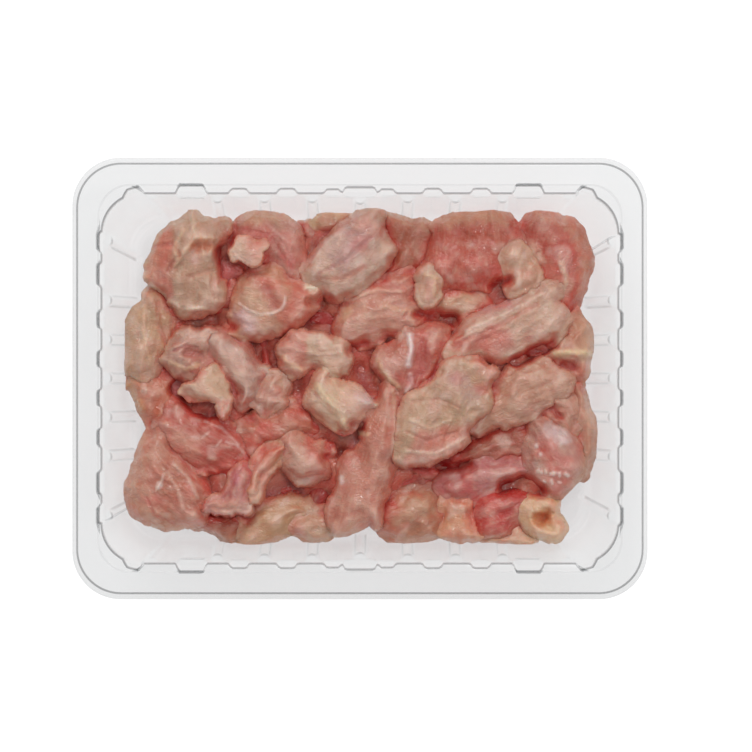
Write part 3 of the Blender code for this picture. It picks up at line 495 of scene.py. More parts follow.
# Meat: node: (top height, edge drop, edge roundness, grain degrees, flap 0 to 1,
# hollow 0 to 1, crumple 0 to 1, outline in millimetres)
LOBES = {
    "fold_top_left": (34.0, 8, 4.5, 80, 0.2, 0.0, 0.8, [
        (-71.5, 34), (-70, 41), (-66, 49), (-60, 53), (-55, 56), (-52, 54), (-46, 53.5),
        (-43.5, 50.5), (-46.5, 43), (-47, 26), (-52, 22), (-58, 21.5), (-64, 27)]),
    "dome_top": (33.0, 9, 6.5, 60, 0.0, 0.0, 0.3, [
        (-43, 48), (-40, 54.5), (-35, 56.8), (-29, 56.3), (-23, 53), (-19.5, 48), (-18.5, 42),
        (-20, 36.5), (-24, 33.5), (-30, 38), (-37, 38), (-42, 42)]),
    "star_flap": (36.0, 4, 1.6, 20, 0.9, 0.0, 0.5, [
        (-42, 43), (-40.5, 47), (-38, 47), (-35.5, 45), (-30.7, 45.2), (-32, 41.5), (-32.5, 38.5),
        (-37, 37.5), (-41, 40)]),
    "tendon_fold": (34.2, 8, 5.0, -20, 0.1, 0.35, 0.5, [
        (-40.5, 29), (-38.5, 34), (-33, 36.5), (-27, 38), (-22, 34), (-17, 31.3), (-13, 31),
        (-13, 28.5), (-15, 24), (-20, 18.5), (-27, 15), (-35, 13.5), (-41, 15), (-42.5, 19)]),
    "small_knob": (27.0, 6, 3.0, 60, 0.3, 0.0, 0.5, [
        (-46.5, 33), (-44.5, 36), (-42, 35.5), (-39.5, 32.5), (-40, 28), (-41, 24), (-45, 22.5),
        (-47, 25)]),
    "low_pink_top": (24.0, 6, 3.0, 30, 0.3, 0.0, 0.4, [
        (-20, 50.5), (-16, 51.3), (-11.5, 50), (-10, 47), (-14, 42.5), (-17.5, 41.5), (-19, 46)]),
    "top_yellow": (26.0, 6, 3.0, 0, 0.1, 0.0, 0.3, [
        (-14.5, 51), (-13, 55), (-10.5, 57), (-6, 57), (-1.5, 55), (-4, 51), (-8, 48.5), (-12, 49)]),
    "big_pale_top": (34.4, 9, 5.0, 45, 0.25, 0.0, 0.4, [
        (-18.5, 36), (-16, 40), (-12, 45), (-6, 51), (-1, 55), (4, 57), (8, 56.5), (7.5, 51),
        (9, 45), (11, 42), (9.5, 38), (5, 33.5), (-3, 27.5), (-9, 26.8), (-13, 29.5), (-17, 32)]),
    "red_behind_top": (28.0, 7, 4.0, 70, 0.1, 0.0, 0.5, [
        (8, 56.5), (14, 54.5), (18, 52.5), (21.5, 53.5), (24.5, 48.5), (23.5, 45.5), (25, 41),
        (22, 35), (14, 35), (7, 34), (9.5, 38), (11, 42), (9, 46)]),
    "mid_top_twin": (31.5, 8, 5.0, 10, 0.1, 0.0, 0.6, [
        (-6, 20), (-4, 24), (-1, 28), (3, 32), (10, 34), (17, 35), (20, 33), (19.5, 28), (22, 25),
        (24, 21), (21, 17), (15, 15.5), (9, 16), (4, 12.3), (-2, 11.5), (-5.5, 13)]),
    "hook": (32.4, 5, 2.2, 80, 0.7, 0.0, 0.4, [
        (21.5, 35), (26.5, 35), (27.2, 32), (26, 27.5), (22.5, 25), (20, 27), (20.5, 29.8),
        (21.8, 32)]),
    "cream_wedge": (28.4, 7, 3.5, 0, 0.3, 0.0, 0.4, [
        (26, 28), (29, 30.5), (34, 31), (38, 29), (41.5, 26.5), (42, 23.5), (37, 21), (30, 19),
        (25, 20), (24.5, 24)]),
    "big_red_top": (31.2, 8, 5.0, 90, 0.1, 0.0, 0.5, [
        (22.5, 36), (25.5, 41), (27.5, 47), (26.5, 52), (31, 54.5), (38, 57), (45, 58), (50, 54.5),
        (53.5, 49), (54, 45), (50, 42), (49.5, 36), (45, 32), (37, 31), (29, 32), (24, 34)]),
    "tan_shoulder": (32.2, 6, 4.0, 70, 0.2, 0.0, 0.4, [
        (50, 44.5), (54, 45), (56, 44.5), (58, 40), (59.5, 36), (59, 32.5), (55, 30), (51, 29.5),
        (50, 34), (48.5, 40)]),
    "right_top_red": (30.0, 8, 5.5, 70, 0.0, 0.1, 0.5, [
        (55.5, 45.5), (56.5, 52), (58, 57), (63, 57), (68, 53.8), (72, 54), (75, 50), (76.5, 45.5),
        (78.2, 40.5), (77, 33), (75.5, 28), (73, 22.5), (69, 22), (66, 25.5), (64, 31), (60, 31),
        (59.5, 36), (57, 42)]),
    "long_pale_right": (33.2, 8, 4.0, 30, 0.3, 0.0, 0.5, [
        (30, 6), (31.5, 10), (33.3, 14), (37, 19.5), (43, 22), (50, 24), (55, 27.5), (60, 30.7),
        (67, 31.5), (68.5, 28), (66, 25), (69.5, 21), (69, 16), (64, 12), (58, 9.5), (52, 6.5),
        (46, 6), (40, 8.5), (35, 5.5)]),
    "right_strip_lump": (29.2, 7, 4.0, 80, 0.2, 0.15, 0.7, [
        (67, 21), (72, 22.5), (76.5, 18), (78.3, 11), (78.8, 5), (77, 0), (73, -1.5), (69, 0.5),
        (65, 4.5), (63.5, 8), (66, 13), (69, 17)]),
    "right_mid_pale": (32.0, 8, 3.5, 30, 0.4, 0.0, 0.5, [
        (53, 3), (57, 5.8), (62.5, 6), (66, 2.5), (70, 0), (70, -4), (64.5, -4.5), (63.5, -8),
        (59.5, -10.5), (57, -13.5), (50, -14.5), (44, -16.5), (39, -18), (38.5, -14.5), (42, -9),
        (42.5, -4), (46, -1.5)]),
    "big_flat_centre": (35.6, 7, 3.0, 60, 0.45, 0.0, 0.8, [
        (29.5, 5), (38, 5.5), (42, 3), (47, 1), (43, -3.5), (43, -9), (39.5, -14), (37, -17.5),
        (34.5, -23), (27, -26.5), (20, -29), (14, -29), (13.5, -20), (14.5, -9), (22, -3),
        (27, 1.5)]),
    "white_tendon": (33.0, 8, 4.0, 70, 0.2, 0.3, 0.4, [
        (6.2, 6), (7, 8.7), (12, 11), (17, 14.8), (21, 15.5), (25, 17.3), (29, 16), (30.2, 12.5),
        (28, 7), (24, 0.5), (20, -4), (15.5, -5.6), (12.5, -3), (7.5, 2.5)]),
    "long_strip": (32.6, 8, 3.4, 70, 0.4, 0.0, 0.3, [
        (10, -2), (12.8, -4), (14, -12), (13.5, -22), (11, -31), (8, -38), (6.3, -44),
        (6.7, -49.6), (3.5, -47.5), (-1, -51), (-8, -53), (-9, -45.5), (-6.5, -37), (-5, -29),
        (-1, -24.5), (1.5, -20), (3, -15), (6, -10.5)]),
    "strip_foot": (27.0, 7, 4.0, -20, 0.1, 0.0, 0.4, [
        (-21.5, -49.5), (-18.5, -46.5), (-12, -45.5), (-7.5, -46.5), (-6, -50), (-9, -54),
        (-14, -56), (-19, -54)]),
    "centre_pale": (33.4, 8, 3.2, 0, 0.5, 0.0, 1.0, [
        (-25.5, 6), (-25.3, 11), (-21, 14.5), (-15, 15), (-9.5, 13), (-5.5, 11.7), (-3, 9),
        (-4.5, 3.5), (-6.5, 0), (-11, 1.5), (-15, 3.8), (-20, 1.7), (-24.5, 4)]),
    "under_centre": (24.0, 6, 3.0, 40, 0.2, 0.0, 0.6, [
        (-26, 0.5), (-22, 2), (-14, 2), (-14.5, -2), (-18, -5), (-17, -8), (-22.5, -5.5),
        (-25, -4)]),
    "cream_fat": (35.4, 7, 4.5, -45, 0.1, 0.0, 0.7, [
        (-13, 2.5), (-10.5, 2.8), (-9, 0), (-4, -2), (1, -4.5), (5.5, -8.3), (2, -10.5),
        (-1.5, -15.5), (-5, -18.3), (-11, -14), (-16.5, -10), (-18, -7.5), (-15.5, -2)]),
    "grey_pink_low": (23.0, 5, 4.0, 30, 0.0, 0.0, 0.4, [
        (-6, 0), (-3, 6), (0, 7), (5, 6), (7, 2), (9, -1), (8, -4), (5, -5.5), (1, -4.5),
        (-3, -2.5)]),
    "curled_left": (31.0, 7, 3.5, 30, 0.6, 0.3, 0.7, [
        (-65, 6), (-63, 11), (-59, 15.5), (-53, 15), (-49, 13), (-49.5, 9), (-52, 6), (-55, 2),
        (-59, 2.5), (-62, 3.5)]),
    "star_left": (33.6, 5, 2.0, -40, 0.8, 0.0, 0.7, [
        (-58.5, -4.7), (-54, -1), (-50.5, 2), (-48.8, 3.5), (-46.5, -2), (-44, -4), (-43, -7.5),
        (-43.8, -11), (-45, -13), (-46.5, -11), (-47, -8), (-51, -6.5), (-56, -6.3)]),
    "dome_left": (33.0, 9, 5.5, -50, 0.1, 0.0, 0.5, [
        (-49, 14), (-45, 15.5), (-41, 13), (-37, 9), (-34, 4), (-31, 2), (-34, -3), (-37, -8),
        (-39.5, -11), (-41, -8.5), (-40.5, -5), (-43, -3), (-46.5, 0), (-48.5, 4), (-50, 8)]),
    "small_tan": (30.0, 7, 3.0, 60, 0.4, 0.0, 0.6, [
        (-34, -1), (-31, 0.3), (-25.5, 0), (-25, -3), (-27, -5.5), (-25.3, -8), (-28, -10),
        (-31, -12), (-33, -9.5), (-35.8, -6)]),
    "low_strip": (24.2, 6, 3.0, 90, 0.2, 0.0, 0.3, [
        (-33.5, 14), (-29, 14), (-28.5, 8), (-28, 3), (-30, 1.5), (-32, 3), (-33, 8)]),
    "left_long": (28.2, 7, 4.5, 80, 0.1, 0.0, 0.5, [
        (-72, 30), (-68, 29), (-64, 25), (-61.5, 20), (-63, 15), (-65, 9), (-68, 6), (-71, 2),
        (-78, 1), (-78, 6), (-79, 13), (-78.5, 19), (-76, 23), (-72.5, 25.5)]),
    "left_orange": (26.2, 6, 4.5, 60, 0.1, 0.0, 0.5, [
        (-79.5, -1), (-78, 1), (-70, 1.5), (-63, 0), (-61, -3), (-60, -7), (-63.5, -10.5),
        (-65, -14), (-67.5, -15.2), (-73.5, -12), (-77, -5), (-79.5, -3.5)]),
    "corner_round": (31.4, 9, 7.0, -40, 0.0, 0.0, 0.6, [
        (-67.5, -16), (-72, -20), (-74.5, -24), (-77, -31), (-79, -36), (-78.5, -40), (-77, -45),
        (-74, -48), (-68, -50), (-58, -50), (-53.5, -48), (-52.3, -44), (-52, -38), (-53, -33),
        (-56, -30), (-60, -26.5), (-64, -22), (-66, -18)]),
    "spiky_red": (30.0, 8, 5.0, -30, 0.1, 0.0, 0.5, [
        (-67, -16), (-64, -13), (-62.5, -9), (-61, -7), (-58.5, -10), (-55, -13.5), (-50, -12.5),
        (-44, -15.5), (-39, -20), (-38.5, -25), (-42, -30), (-46, -31), (-52, -30.5), (-57, -29),
        (-61, -26), (-65, -22)]),
    "fibrous_mid": (28.6, 7, 3.5, -25, 0.3, 0.0, 1.0, [
        (-40, -17), (-36, -15), (-31, -13), (-27, -11), (-23, -9.5), (-19, -9.5), (-15.5, -15),
        (-17, -17.5), (-22, -19), (-26, -22), (-32, -24), (-36, -29), (-38, -27), (-38.5, -22)]),
    "orange_strip": (31.0, 6, 2.6, 60, 0.4, 0.0, 0.4, [
        (-25, -22), (-26, -25), (-29, -29), (-32, -34), (-34, -38.5), (-36, -40), (-38.5, -38.5),
        (-35.5, -32), (-33, -27), (-31, -23.5)]),
    "purple_flap": (31.2, 6, 2.6, 60, 0.6, 0.0, 0.5, [
        (-40.5, -30), (-38, -28.5), (-36.5, -31), (-36.5, -34), (-38, -37.5), (-37.5, -41),
        (-38, -43.5), (-42, -43.5), (-45, -45), (-50.7, -43.3), (-48, -41.5), (-45, -39),
        (-43.5, -36), (-43, -33)]),
    "tan_block": (32.4, 8, 4.5, 20, 0.1, 0.0, 0.5, [
        (-25, -20.5), (-22, -18.8), (-16, -22.5), (-12, -22.5), (-9.5, -24.5), (-11, -27),
        (-10.5, -29.5), (-12.5, -32.8), (-19.5, -34.3), (-25, -29.5), (-24.8, -25)]),
    "red_low": (21.0, 5, 3.0, 20, 0.0, 0.0, 0.5, [
        (-37, -32), (-31, -28.5), (-26, -28), (-24, -31), (-19, -35), (-16.5, -37), (-17.5, -41.5),
        (-24, -43), (-32, -43.5), (-38, -42)]),
    "purple_low": (23.0, 5, 3.0, 60, 0.0, 0.0, 0.4, [
        (-15.5, -35), (-12, -31), (-8, -32), (-7, -37), (-8, -40), (-12, -43.5), (-16, -44),
        (-17.5, -41)]),
    "bottom_tan_strip": (26.0, 7, 4.0, 30, 0.1, 0.0, 0.5, [
        (-39, -50), (-36, -46.5), (-32, -44.5), (-27, -43), (-22, -43), (-18, -44.5), (-22, -48),
        (-24.5, -51.5), (-29, -55.5), (-36, -58), (-40, -57.8), (-40, -54)]),
    "bottom_brown": (24.0, 6, 4.0, 20, 0.1, 0.0, 0.5, [
        (-52.5, -45), (-48, -45.5), (-42, -44.5), (-38, -46), (-39.5, -50), (-41.5, -58),
        (-45, -56), (-51, -52), (-56, -51.5), (-54, -49)]),
    "bottom_round": (28.0, 8, 6.0, 30, 0.0, 0.0, 0.5, [
        (6.5, -50), (6.2, -45), (8, -41), (12, -39.5), (18, -39), (24, -38.5), (27.5, -45),
        (28.5, -48), (27, -53), (20, -55.5), (13, -56), (8, -53.5)]),
    "cream_side": (28.2, 7, 3.0, 90, 0.4, 0.0, 0.3, [
        (30.5, -41), (36.5, -41.5), (39, -40.5), (38.5, -45), (39, -50), (41, -53), (36, -54.3),
        (30, -53.8), (28, -51), (29, -46)]),
    "red_muscle": (28.4, 7, 4.0, 20, 0.1, 0.0, 0.6, [
        (39, -40.5), (44, -38), (48, -36.5), (56, -37.5), (64, -38.5), (62, -41), (57, -43),
        (55, -47), (52, -48.5), (50, -51), (48, -53), (42, -53), (39.5, -50)]),
    "bottom_flap": (25.0, 6, 2.5, 20, 0.7, 0.0, 0.3, [
        (42, -54.5), (50, -53), (52, -50), (55, -48.5), (58, -53), (61, -55.5), (58, -57),
        (50, -56.5)]),
    "curl": (30.0, 7, 4.0, 60, 0.2, 0.8, 0.4, [
        (56, -43), (61, -41), (65.8, -39.8), (67.5, -43), (67.8, -46), (69.8, -50), (68, -54),
        (64, -55.2), (60, -54), (57, -49)]),
    "beaded_round": (32.0, 8, 5.0, -60, 0.1, 0.0, 0.6, [
        (57, -26), (58.5, -20), (60, -13.7), (65, -16.5), (71, -20), (74.5, -26), (76, -30),
        (73, -36), (69.5, -38), (66, -39), (62, -38), (58, -33)]),
    "right_edge_long": (28.0, 6, 4.5, 90, 0.0, 0.0, 0.3, [
        (71.5, -1.5), (75, -1.5), (78, -9), (79.5, -13), (80.8, -22), (79, -28), (75.5, -34.5),
        (74.5, -30), (74, -25), (72.5, -20), (73.5, -14), (73, -8)]),
    "right_folds": (29.2, 7, 3.0, -60, 0.5, 0.35, 0.8, [
        (64.5, -5), (69, -5), (71, -5.5), (73.5, -8), (74, -12), (72.5, -16), (70, -19),
        (66, -16.5), (63, -13)]),
    "dull_brown": (26.2, 6, 4.0, 20, 0.2, 0.0, 1.0, [
        (36.5, -20.5), (42, -18), (51, -15), (57, -14.5), (58.5, -18), (58, -22), (56.5, -27),
        (50, -28.5), (44, -28), (38, -29), (28, -30), (20, -29.5), (30, -26), (34, -23.5)]),
    "pink_strip": (28.6, 7, 4.0, 15, 0.1, 0.0, 0.4, [
        (28.5, -36), (35, -33), (41, -29), (46, -29), (56, -29.5), (56.5, -32), (48.5, -35),
        (43, -37.5), (39, -40), (34, -40.5), (30, -39.5)]),
    "brown_low": (23.2, 5, 3.0, 10, 0.0, 0.0, 0.6, [
        (11, -31), (14, -29.5), (24, -30), (36, -30), (31, -34.5), (27, -38.5), (20, -38.5),
        (12, -39.5), (8, -40), (8, -36)]),
    "dark_left": (19.6, 4, 3.0, 0, 0.0, 0.0, 0.4, [
        (-62, 18), (-60, 22), (-47, 23), (-44, 20), (-46, 16), (-52, 14.5), (-59, 16)]),
    "purple_mid": (22.4, 5, 3.0, 30, 0.0, 0.0, 0.8, [
        (-22, 16), (-14, 26), (-8, 27), (-3, 26), (-5, 20), (-5, 13), (-14, 15)]),
    "red_mid": (21.6, 5, 3.0, 0, 0.0, 0.0, 0.4, [
        (24, 20), (36, 20), (34, 16), (31, 14), (29, 16), (25, 17.5)]),
    "pink_right": (24.6, 5, 3.0, 20, 0.2, 0.0, 0.5, [
        (41.5, 4), (44, 6.3), (53, 5), (52, 2), (49, 0.4), (46, 0.8)]),
}
HEAP_SCALE = 0.99
HEAP_SHIFT = (-0.5, 0.2)

# Lobes paler or redder than their neighbours: (colour, share)
TINTS = {
    "low_strip": ((228, 178, 158), 0.55), "low_pink_top": ((228, 184, 168), 0.4),
    "under_centre": ((224, 158, 136), 0.4), "pink_right": ((222, 168, 154), 0.3),
    "curl": ((240, 202, 164), 0.4), "top_yellow": ((234, 204, 170), 0.4),
    "bottom_flap": ((236, 206, 180), 0.35), "tan_shoulder": ((230, 192, 166), 0.25),
    "left_orange": ((204, 104, 80), 0.45), "long_strip": ((206, 98, 84), 0.32),
    "big_red_top": ((202, 84, 70), 0.35), "fibrous_mid": ((196, 98, 84), 0.3),
    "cream_side": ((212, 124, 98), 0.3), "mid_top_twin": ((214, 122, 104), 0.3),
    "spiky_red": ((206, 98, 84), 0.25), "purple_low": ((160, 44, 52), 0.4),
    "cream_fat": ((222, 170, 148), 0.5), "right_top_red": ((208, 90, 78), 0.3),
    "red_muscle": ((208, 64, 58), 0.35), "purple_flap": ((196, 98, 100), 0.3),
    "dull_brown": ((182, 88, 76), 0.35), "red_low": ((172, 50, 46), 0.3),
    "grey_pink_low": ((204, 140, 122), 0.3),
}

# The last step of the painting: the colours spread out about a middle one, and then scaled
GRADE_MIDDLE = np.array((0.552, 0.218, 0.157))
GRADE_POWER = (1.05, 1.14, 1.14)
GRADE_GAIN = (0.985, 0.885, 0.885)
# The last colour is painted shade for the deep hollows
CREAM, WHITE, HOLLOW_SHADE_RED = (224, 188, 154), (238, 214, 202), (172, 62, 56)
# Tendons, fat and pits on each lobe: (half width, rise, colour, strength, line through it). The sunk
# marks (rise below 0) are painted reds and browns: painted shade in the grooves and hollows they press
# in, over the redder meat there.
MARKS = {
    "tendon_fold": (
        (0.50, 0.55, (240, 208, 194), 0.9,
         [(-40, 25), (-37, 22.5), (-33, 21.2), (-29, 21.5), (-26, 23), (-24.8, 25), (-24.5, 27)]),
        (1.0, 0.9, (246, 230, 204), 0.95, [(-17.5, 30.2), (-14.2, 30.4)]),
        # painted sheen: a pale patch where the wet surface catches the light
        (2.6, 0.1, (212, 176, 180), 0.6, [(-39.5, 21), (-37, 17.5)]),
        (3.6, 0.9, (212, 176, 148), 0.6, [(-35.5, 27.5), (-34, 25.5)]),
        (2.0, -0.9, (188, 96, 92), 0.6, [(-31, 30), (-28, 25)]),
    ),
    "star_flap": (
        (0.45, 0.4, (238, 206, 188), 0.9, [(-41, 41), (-38.5, 38.5), (-37.6, 37.4)]),
    ),
    "fold_top_left": (
        (0.9, 0.8, (218, 182, 152), 0.8, [(-62, 38), (-58, 42.5), (-54.5, 46.2), (-49, 46.6)]),
        (0.8, -0.9, (196, 104, 90), 0.6, [(-68.5, 44), (-62, 45), (-60.2, 41), (-64, 36)]),
        (0.8, 0.6, (226, 196, 170), 0.7, [(-56, 55), (-54.8, 47)]),
        (0.7, 0.5, (230, 200, 176), 0.7, [(-70, 31.5), (-60, 23), (-51, 23.4)]),
        (0.9, -0.5, (204, 140, 118), 0.4, [(-57, 34), (-49.5, 36), (-48, 27)]),
        (0.7, 0.7, (222, 186, 156), 0.8, [(-61, 40), (-61.5, 45), (-58.5, 49.5)]),
        # painted shadow inside the fold's pocket mouth, over a dip in the surface
        (1.9, -1.6, (206, 122, 88), 0.85, [(-54.5, 44), (-50.5, 44.6)]),
        (2.6, -0.7, (202, 116, 96), 0.6, [(-66, 41), (-63.5, 48)]),
    ),
    "dome_top": (
        (0.7, -0.5, (200, 100, 92), 0.5, [(-41, 50.4), (-30, 48), (-22.5, 37)]),
        (0.5, 0.4, (228, 184, 168), 0.5, [(-31, 52), (-24.5, 46), (-22, 41)]),
        (3.0, 0.2, (204, 110, 100), 0.6, [(-23.5, 46), (-22.5, 40)]),
        (2.6, 0.3, (210, 166, 132), 0.7, [(-36, 54), (-29, 54.4)]),
    ),
    "left_long": (
        (0.8, -0.7, (198, 112, 92), 0.5, [(-67.5, 25.5), (-67.4, 18), (-64.5, 10.5)]),
        (0.7, 0.5, (228, 190, 160), 0.5, [(-72, 24), (-72.4, 14), (-70, 6)]),
    ),
    "big_pale_top": (
        (0.8, 0.5, (226, 196, 182), 0.5, [(-16, 39), (-11, 46), (-2, 51)]),
        (0.8, -0.5, (196, 120, 110), 0.45, [(-13, 35), (-5, 39), (4, 47)]),
        (4.2, 0.4, (192, 150, 148), 0.55, [(-6, 40), (0, 46)]),
        (0.9, -0.4, (196, 116, 96), 0.5, [(-14, 33.5), (-6, 33), (2, 37)]),
    ),
    "long_pale_right": (
        (0.8, -0.6, (200, 122, 106), 0.5, [(33.5, 12), (46, 17), (60, 25)]),
        (0.7, 0.5, (230, 200, 182), 0.6, [(36, 16), (49, 21.6), (62, 28.6)]),
        (3.2, 0.1, (212, 160, 158), 0.6, [(43, 24), (50, 27.5)]),
    ),
    "mid_top_twin": (
        (0.6, -0.7, (196, 104, 92), 0.55, [(15, 20), (17.5, 23.6), (21.5, 21.6), (19.4, 18.4)]),
        (0.7, 0.5, (228, 188, 166), 0.5, [(-3, 26), (6, 29.5), (14, 29)]),
        (1.5, 0.4, CREAM, 0.7, [(-5, 20), (-3.5, 23)]),
        (0.9, 0.5, (224, 180, 152), 0.6, [(9, 24), (15, 22.4), (20, 23.5)]),
    ),
    "corner_round": (
        (0.5, 0.4, (232, 204, 190), 0.6, [(-65.4, -32.4), (-66.2, -35.4), (-68, -38)]),
        (0.5, -0.4, (196, 104, 92), 0.5, [(-63, -24.5), (-58.4, -28.6), (-55, -34.4)]),
        (0.5, -0.4, (196, 104, 92), 0.5, [(-71, -40), (-68.5, -46), (-62, -49)]),
        (0.6, 0.35, (222, 184, 166), 0.7, [(-62, -29), (-57, -34), (-54, -40)]),
        (0.6, 0.35, (222, 184, 166), 0.6, [(-64, -31.5), (-60.5, -38), (-59, -44)]),
        (0.8, 0.2, WHITE, 0.7, [(-66.6, -35.4), (-67.2, -36.6)]),
    ),
    "spiky_red": (
        (0.4, 0.3, (232, 200, 190), 0.6, [(-51.7, -14.6), (-46, -17), (-40.4, -22.4)]),
        (0.45, 0.2, WHITE, 0.5, [(-52.4, -20), (-50.4, -18.4)]),
        (0.45, 0.2, WHITE, 0.5, [(-47.8, -23), (-46.2, -21)]),
        (0.4, 0.3, WHITE, 0.5, [(-44.4, -21.6), (-41, -22.6), (-38.6, -25.4)]),
        (3.0, 0.2, (208, 150, 128), 0.6, [(-60, -20), (-56, -25)]),
    ),
    "bottom_brown": (
        (0.9, 0.7, (230, 194, 160), 0.6, [(-38, -50), (-31, -45.4), (-21, -44.6)]),
    ),
    "purple_flap": (
        (1.3, 0.2, (190, 74, 100), 0.6, [(-41.4, -32.4), (-41, -35)]),
        (1.9, 0.3, (208, 150, 128), 0.7, [(-48, -43.2), (-42, -42.6)]),
    ),
    "big_flat_centre": (
        (0.6, 0.4, (226, 190, 166), 0.5, [(17, -14), (24, -17), (31, -14)]),
        (0.5, -0.4, (190, 122, 102), 0.45, [(16, -18), (23, -21), (33, -18)]),
        (0.5, -0.4, (190, 122, 102), 0.4, [(18, -8), (27, -7), (34, -10)]),
        (0.6, 0.5, (232, 200, 178), 0.6, [(16, -24.6), (26, -25.4), (36, -20)]),
        (3.4, 0.2, (196, 156, 148), 0.55, [(33, 0), (38, -6)]),
    ),
    "curled_left": (
        (0.6, -0.7, (190, 96, 90), 0.6, [(-62, 9), (-57.6, 11), (-54, 10)]),
        (0.8, 0.5, CREAM, 0.8, [(-63.5, 5.5), (-58, 2.8), (-54.5, 4.2)]),
        (1.6, -1.4, (186, 96, 88), 0.7, [(-57.5, 8.5), (-54, 8)]),
    ),
    "white_tendon": (
        (0.95, 0.8, (244, 222, 214), 0.95, [(17, 14.2), (17.8, 10), (17, 4.4)]),
        (0.85, 0.7, (240, 214, 204), 0.95, [(17.5, 1), (18, -2), (16, -4.8)]),
        (0.9, 0.6, CREAM, 0.8, [(6.4, 6), (7.8, 2.5), (10.5, -1), (13, -2.8)]),
        (2.6, -1.1, (186, 84, 78), 0.7, [(21.5, 10), (21, 3), (18.5, -1)]),
    ),
    "cream_fat": (
        (1.5, 1.3, (226, 200, 166), 0.85, [(-14, -3), (-10, -7), (-6.5, -11.5), (-4.5, -16.5)]),
        (2.3, 0.5, (230, 210, 204), 0.8, [(1, -6.5), (3.2, -8)]),
        (5.5, 0.2, (222, 176, 158), 0.6, [(-2, -9), (2, -14)]),
    ),
    "right_strip_lump": (
        (1.2, 1.7, (230, 200, 160), 0.9, [(66, 8.2), (72, 8.6), (78, 8.2)]),
        # painted shade in the hollow
        (1.9, -2.0, HOLLOW_SHADE_RED, 0.85, [(69.5, 4.4), (72.5, 4.2)]),
    ),
    "long_strip": (
        (0.8, 0.6, CREAM, 0.8, [(-1, -18.4), (3, -19)]),
        (0.8, 0.3, WHITE, 0.8, [(-6, -33.5), (-5.6, -35)]),
        (0.7, 0.3, (222, 186, 162), 0.6, [(11.6, -4), (12.6, -14), (11.4, -26)]),
    ),
    "right_folds": (
        # painted shade in the hollow
        (2.0, -2.4, HOLLOW_SHADE_RED, 0.85, [(64.2, -9.5), (67, -12.5)]),
    ),
    "beaded_round": (
        # painted highlight: a broad pale patch on the wet top
        (2.3, 0.4, (230, 208, 202), 0.7, [(64.5, -17.5), (68.5, -20)]),
        (0.7, 0.7, WHITE, 0.9, [(59.8, -22.8), (59.9, -23.2)]),
        (0.7, 0.7, WHITE, 0.9, [(60.8, -25.2), (61.0, -25.6)]),
        (0.65, 0.7, WHITE, 0.9, [(60.2, -31.2), (61.2, -31.7)]),
        (0.45, 0.6, WHITE, 0.8, [(62.6, -31.0), (62.9, -31.9)]),
        (0.7, 0.7, WHITE, 0.9, [(64.6, -32.2), (65.6, -32.0)]),
        (0.5, 0.6, WHITE, 0.8, [(67.3, -32.0), (67.5, -33.0)]),
        (0.65, 0.7, WHITE, 0.9, [(69.4, -32.3), (70.3, -32.8)]),
        (0.35, 0.4, WHITE, 0.7, [(62.0, -34.6), (62.6, -35.0)]),
        (0.35, 0.4, WHITE, 0.7, [(64.6, -34.2), (65.0, -35.6)]),
        (0.35, 0.4, WHITE, 0.7, [(67.0, -35.0), (67.8, -35.2)]),
    ),
    "curl": (
        # painted shade inside the curl's hollow
        (2.3, -3.0, (206, 122, 76), 0.8, [(60.5, -47.6), (63, -46.8)]),
    ),
    "bottom_round": (
        (4.4, 0.5, (208, 164, 134), 0.7, [(17.5, -43.5), (20.5, -43)]),
    ),
    "right_top_red": (
        (2.2, 1.1, (222, 182, 158), 0.75, [(59.2, 42.4), (60.4, 39.6)]),
        (1.0, 0.6, (222, 186, 160), 0.8, [(69, 29.5), (69.8, 34), (68, 38)]),
    ),
    "big_red_top": (
        (2.2, -0.7, (194, 96, 72), 0.6, [(29, 46.6), (38, 47.4), (49, 46.8)]),
        (2.6, 0.3, (208, 156, 124), 0.7, [(30, 52.4), (40, 55), (48, 53)]),
    ),
    "strip_foot": (
        (0.4, 0.3, (226, 180, 178), 0.6, [(-44, -29), (-42.6, -25)]),
    ),
    "left_orange": (
        (1.8, 0.2, (212, 162, 120), 0.7, [(-78, -2.4), (-74, -10)]),
    ),
    "red_muscle": (
        (2.4, -0.6, (186, 58, 54), 0.8, [(48, -38.6), (57, -40)]),
    ),
    "hook": (
        (0.8, 0.4, CREAM, 0.7, [(22.5, 34.4), (26.4, 33.5), (25.6, 28)]),
    ),
    "centre_pale": (
        (1.0, 0.7, CREAM, 0.6, [(-25, 7), (-23.6, 4.6), (-19, 2.6)]),
    ),
}
# Deep clefts between the pieces: (half width, depth, line through it)
CREVICES = (
    (1.0, 4.0, [(-46.0, 43), (-45.2, 35)]),
    (1.3, 4.0, [(53, 5), (58, 8.5), (65, 12)]),
    (1.5, 4.0, [(49, -37), (55, -35), (61, -38)]),
    (1.8, 4.0, [(-61, -4), (-56, -8), (-51, -12)]),
    (1.2, 3.2, [(-16, 25), (-10, 25.5)]),
    (1.4, 3.2, [(-54, 20), (-48, 19.5), (-42, 17)]),
    (1.5, 3.5, [(-1, -17), (-8, -21), (-11, -26)]),
    (1.1, 3.0, [(46, 31), (50, 32.5)]),
    (1.3, 3.2, [(20, 21.5), (32, 20)]),
    (1.3, 3.2, [(28, -30), (37, -29)]),
    (1.2, 3.0, [(-3, 9), (2, 12)]),
)
CELL = 0.45  # the grid's spacing, in millimetres
GRID_HALF = (88.0, 64.0)
FOOT = 3.0  # how high the lobes' undersides lie
WALL_ROWS = 10
MEAT_ABOVE = 5.0  # a height over this is meat, and not an empty cell
RIM = -0.12  # a lobe's mesh ends where its distance from the edge falls under this


def grid_axes():
    """The x and the y of the grid that every height field shares."""
    return (np.arange(-GRID_HALF[0], GRID_HALF[0] + CELL / 2, CELL),
            np.arange(-GRID_HALF[1], GRID_HALF[1] + CELL / 2, CELL))


def placed(points):
    """Typed points moved and scaled to where the heap lies."""
    points = np.asarray(points, float)
    return points * HEAP_SCALE + np.asarray(HEAP_SHIFT)


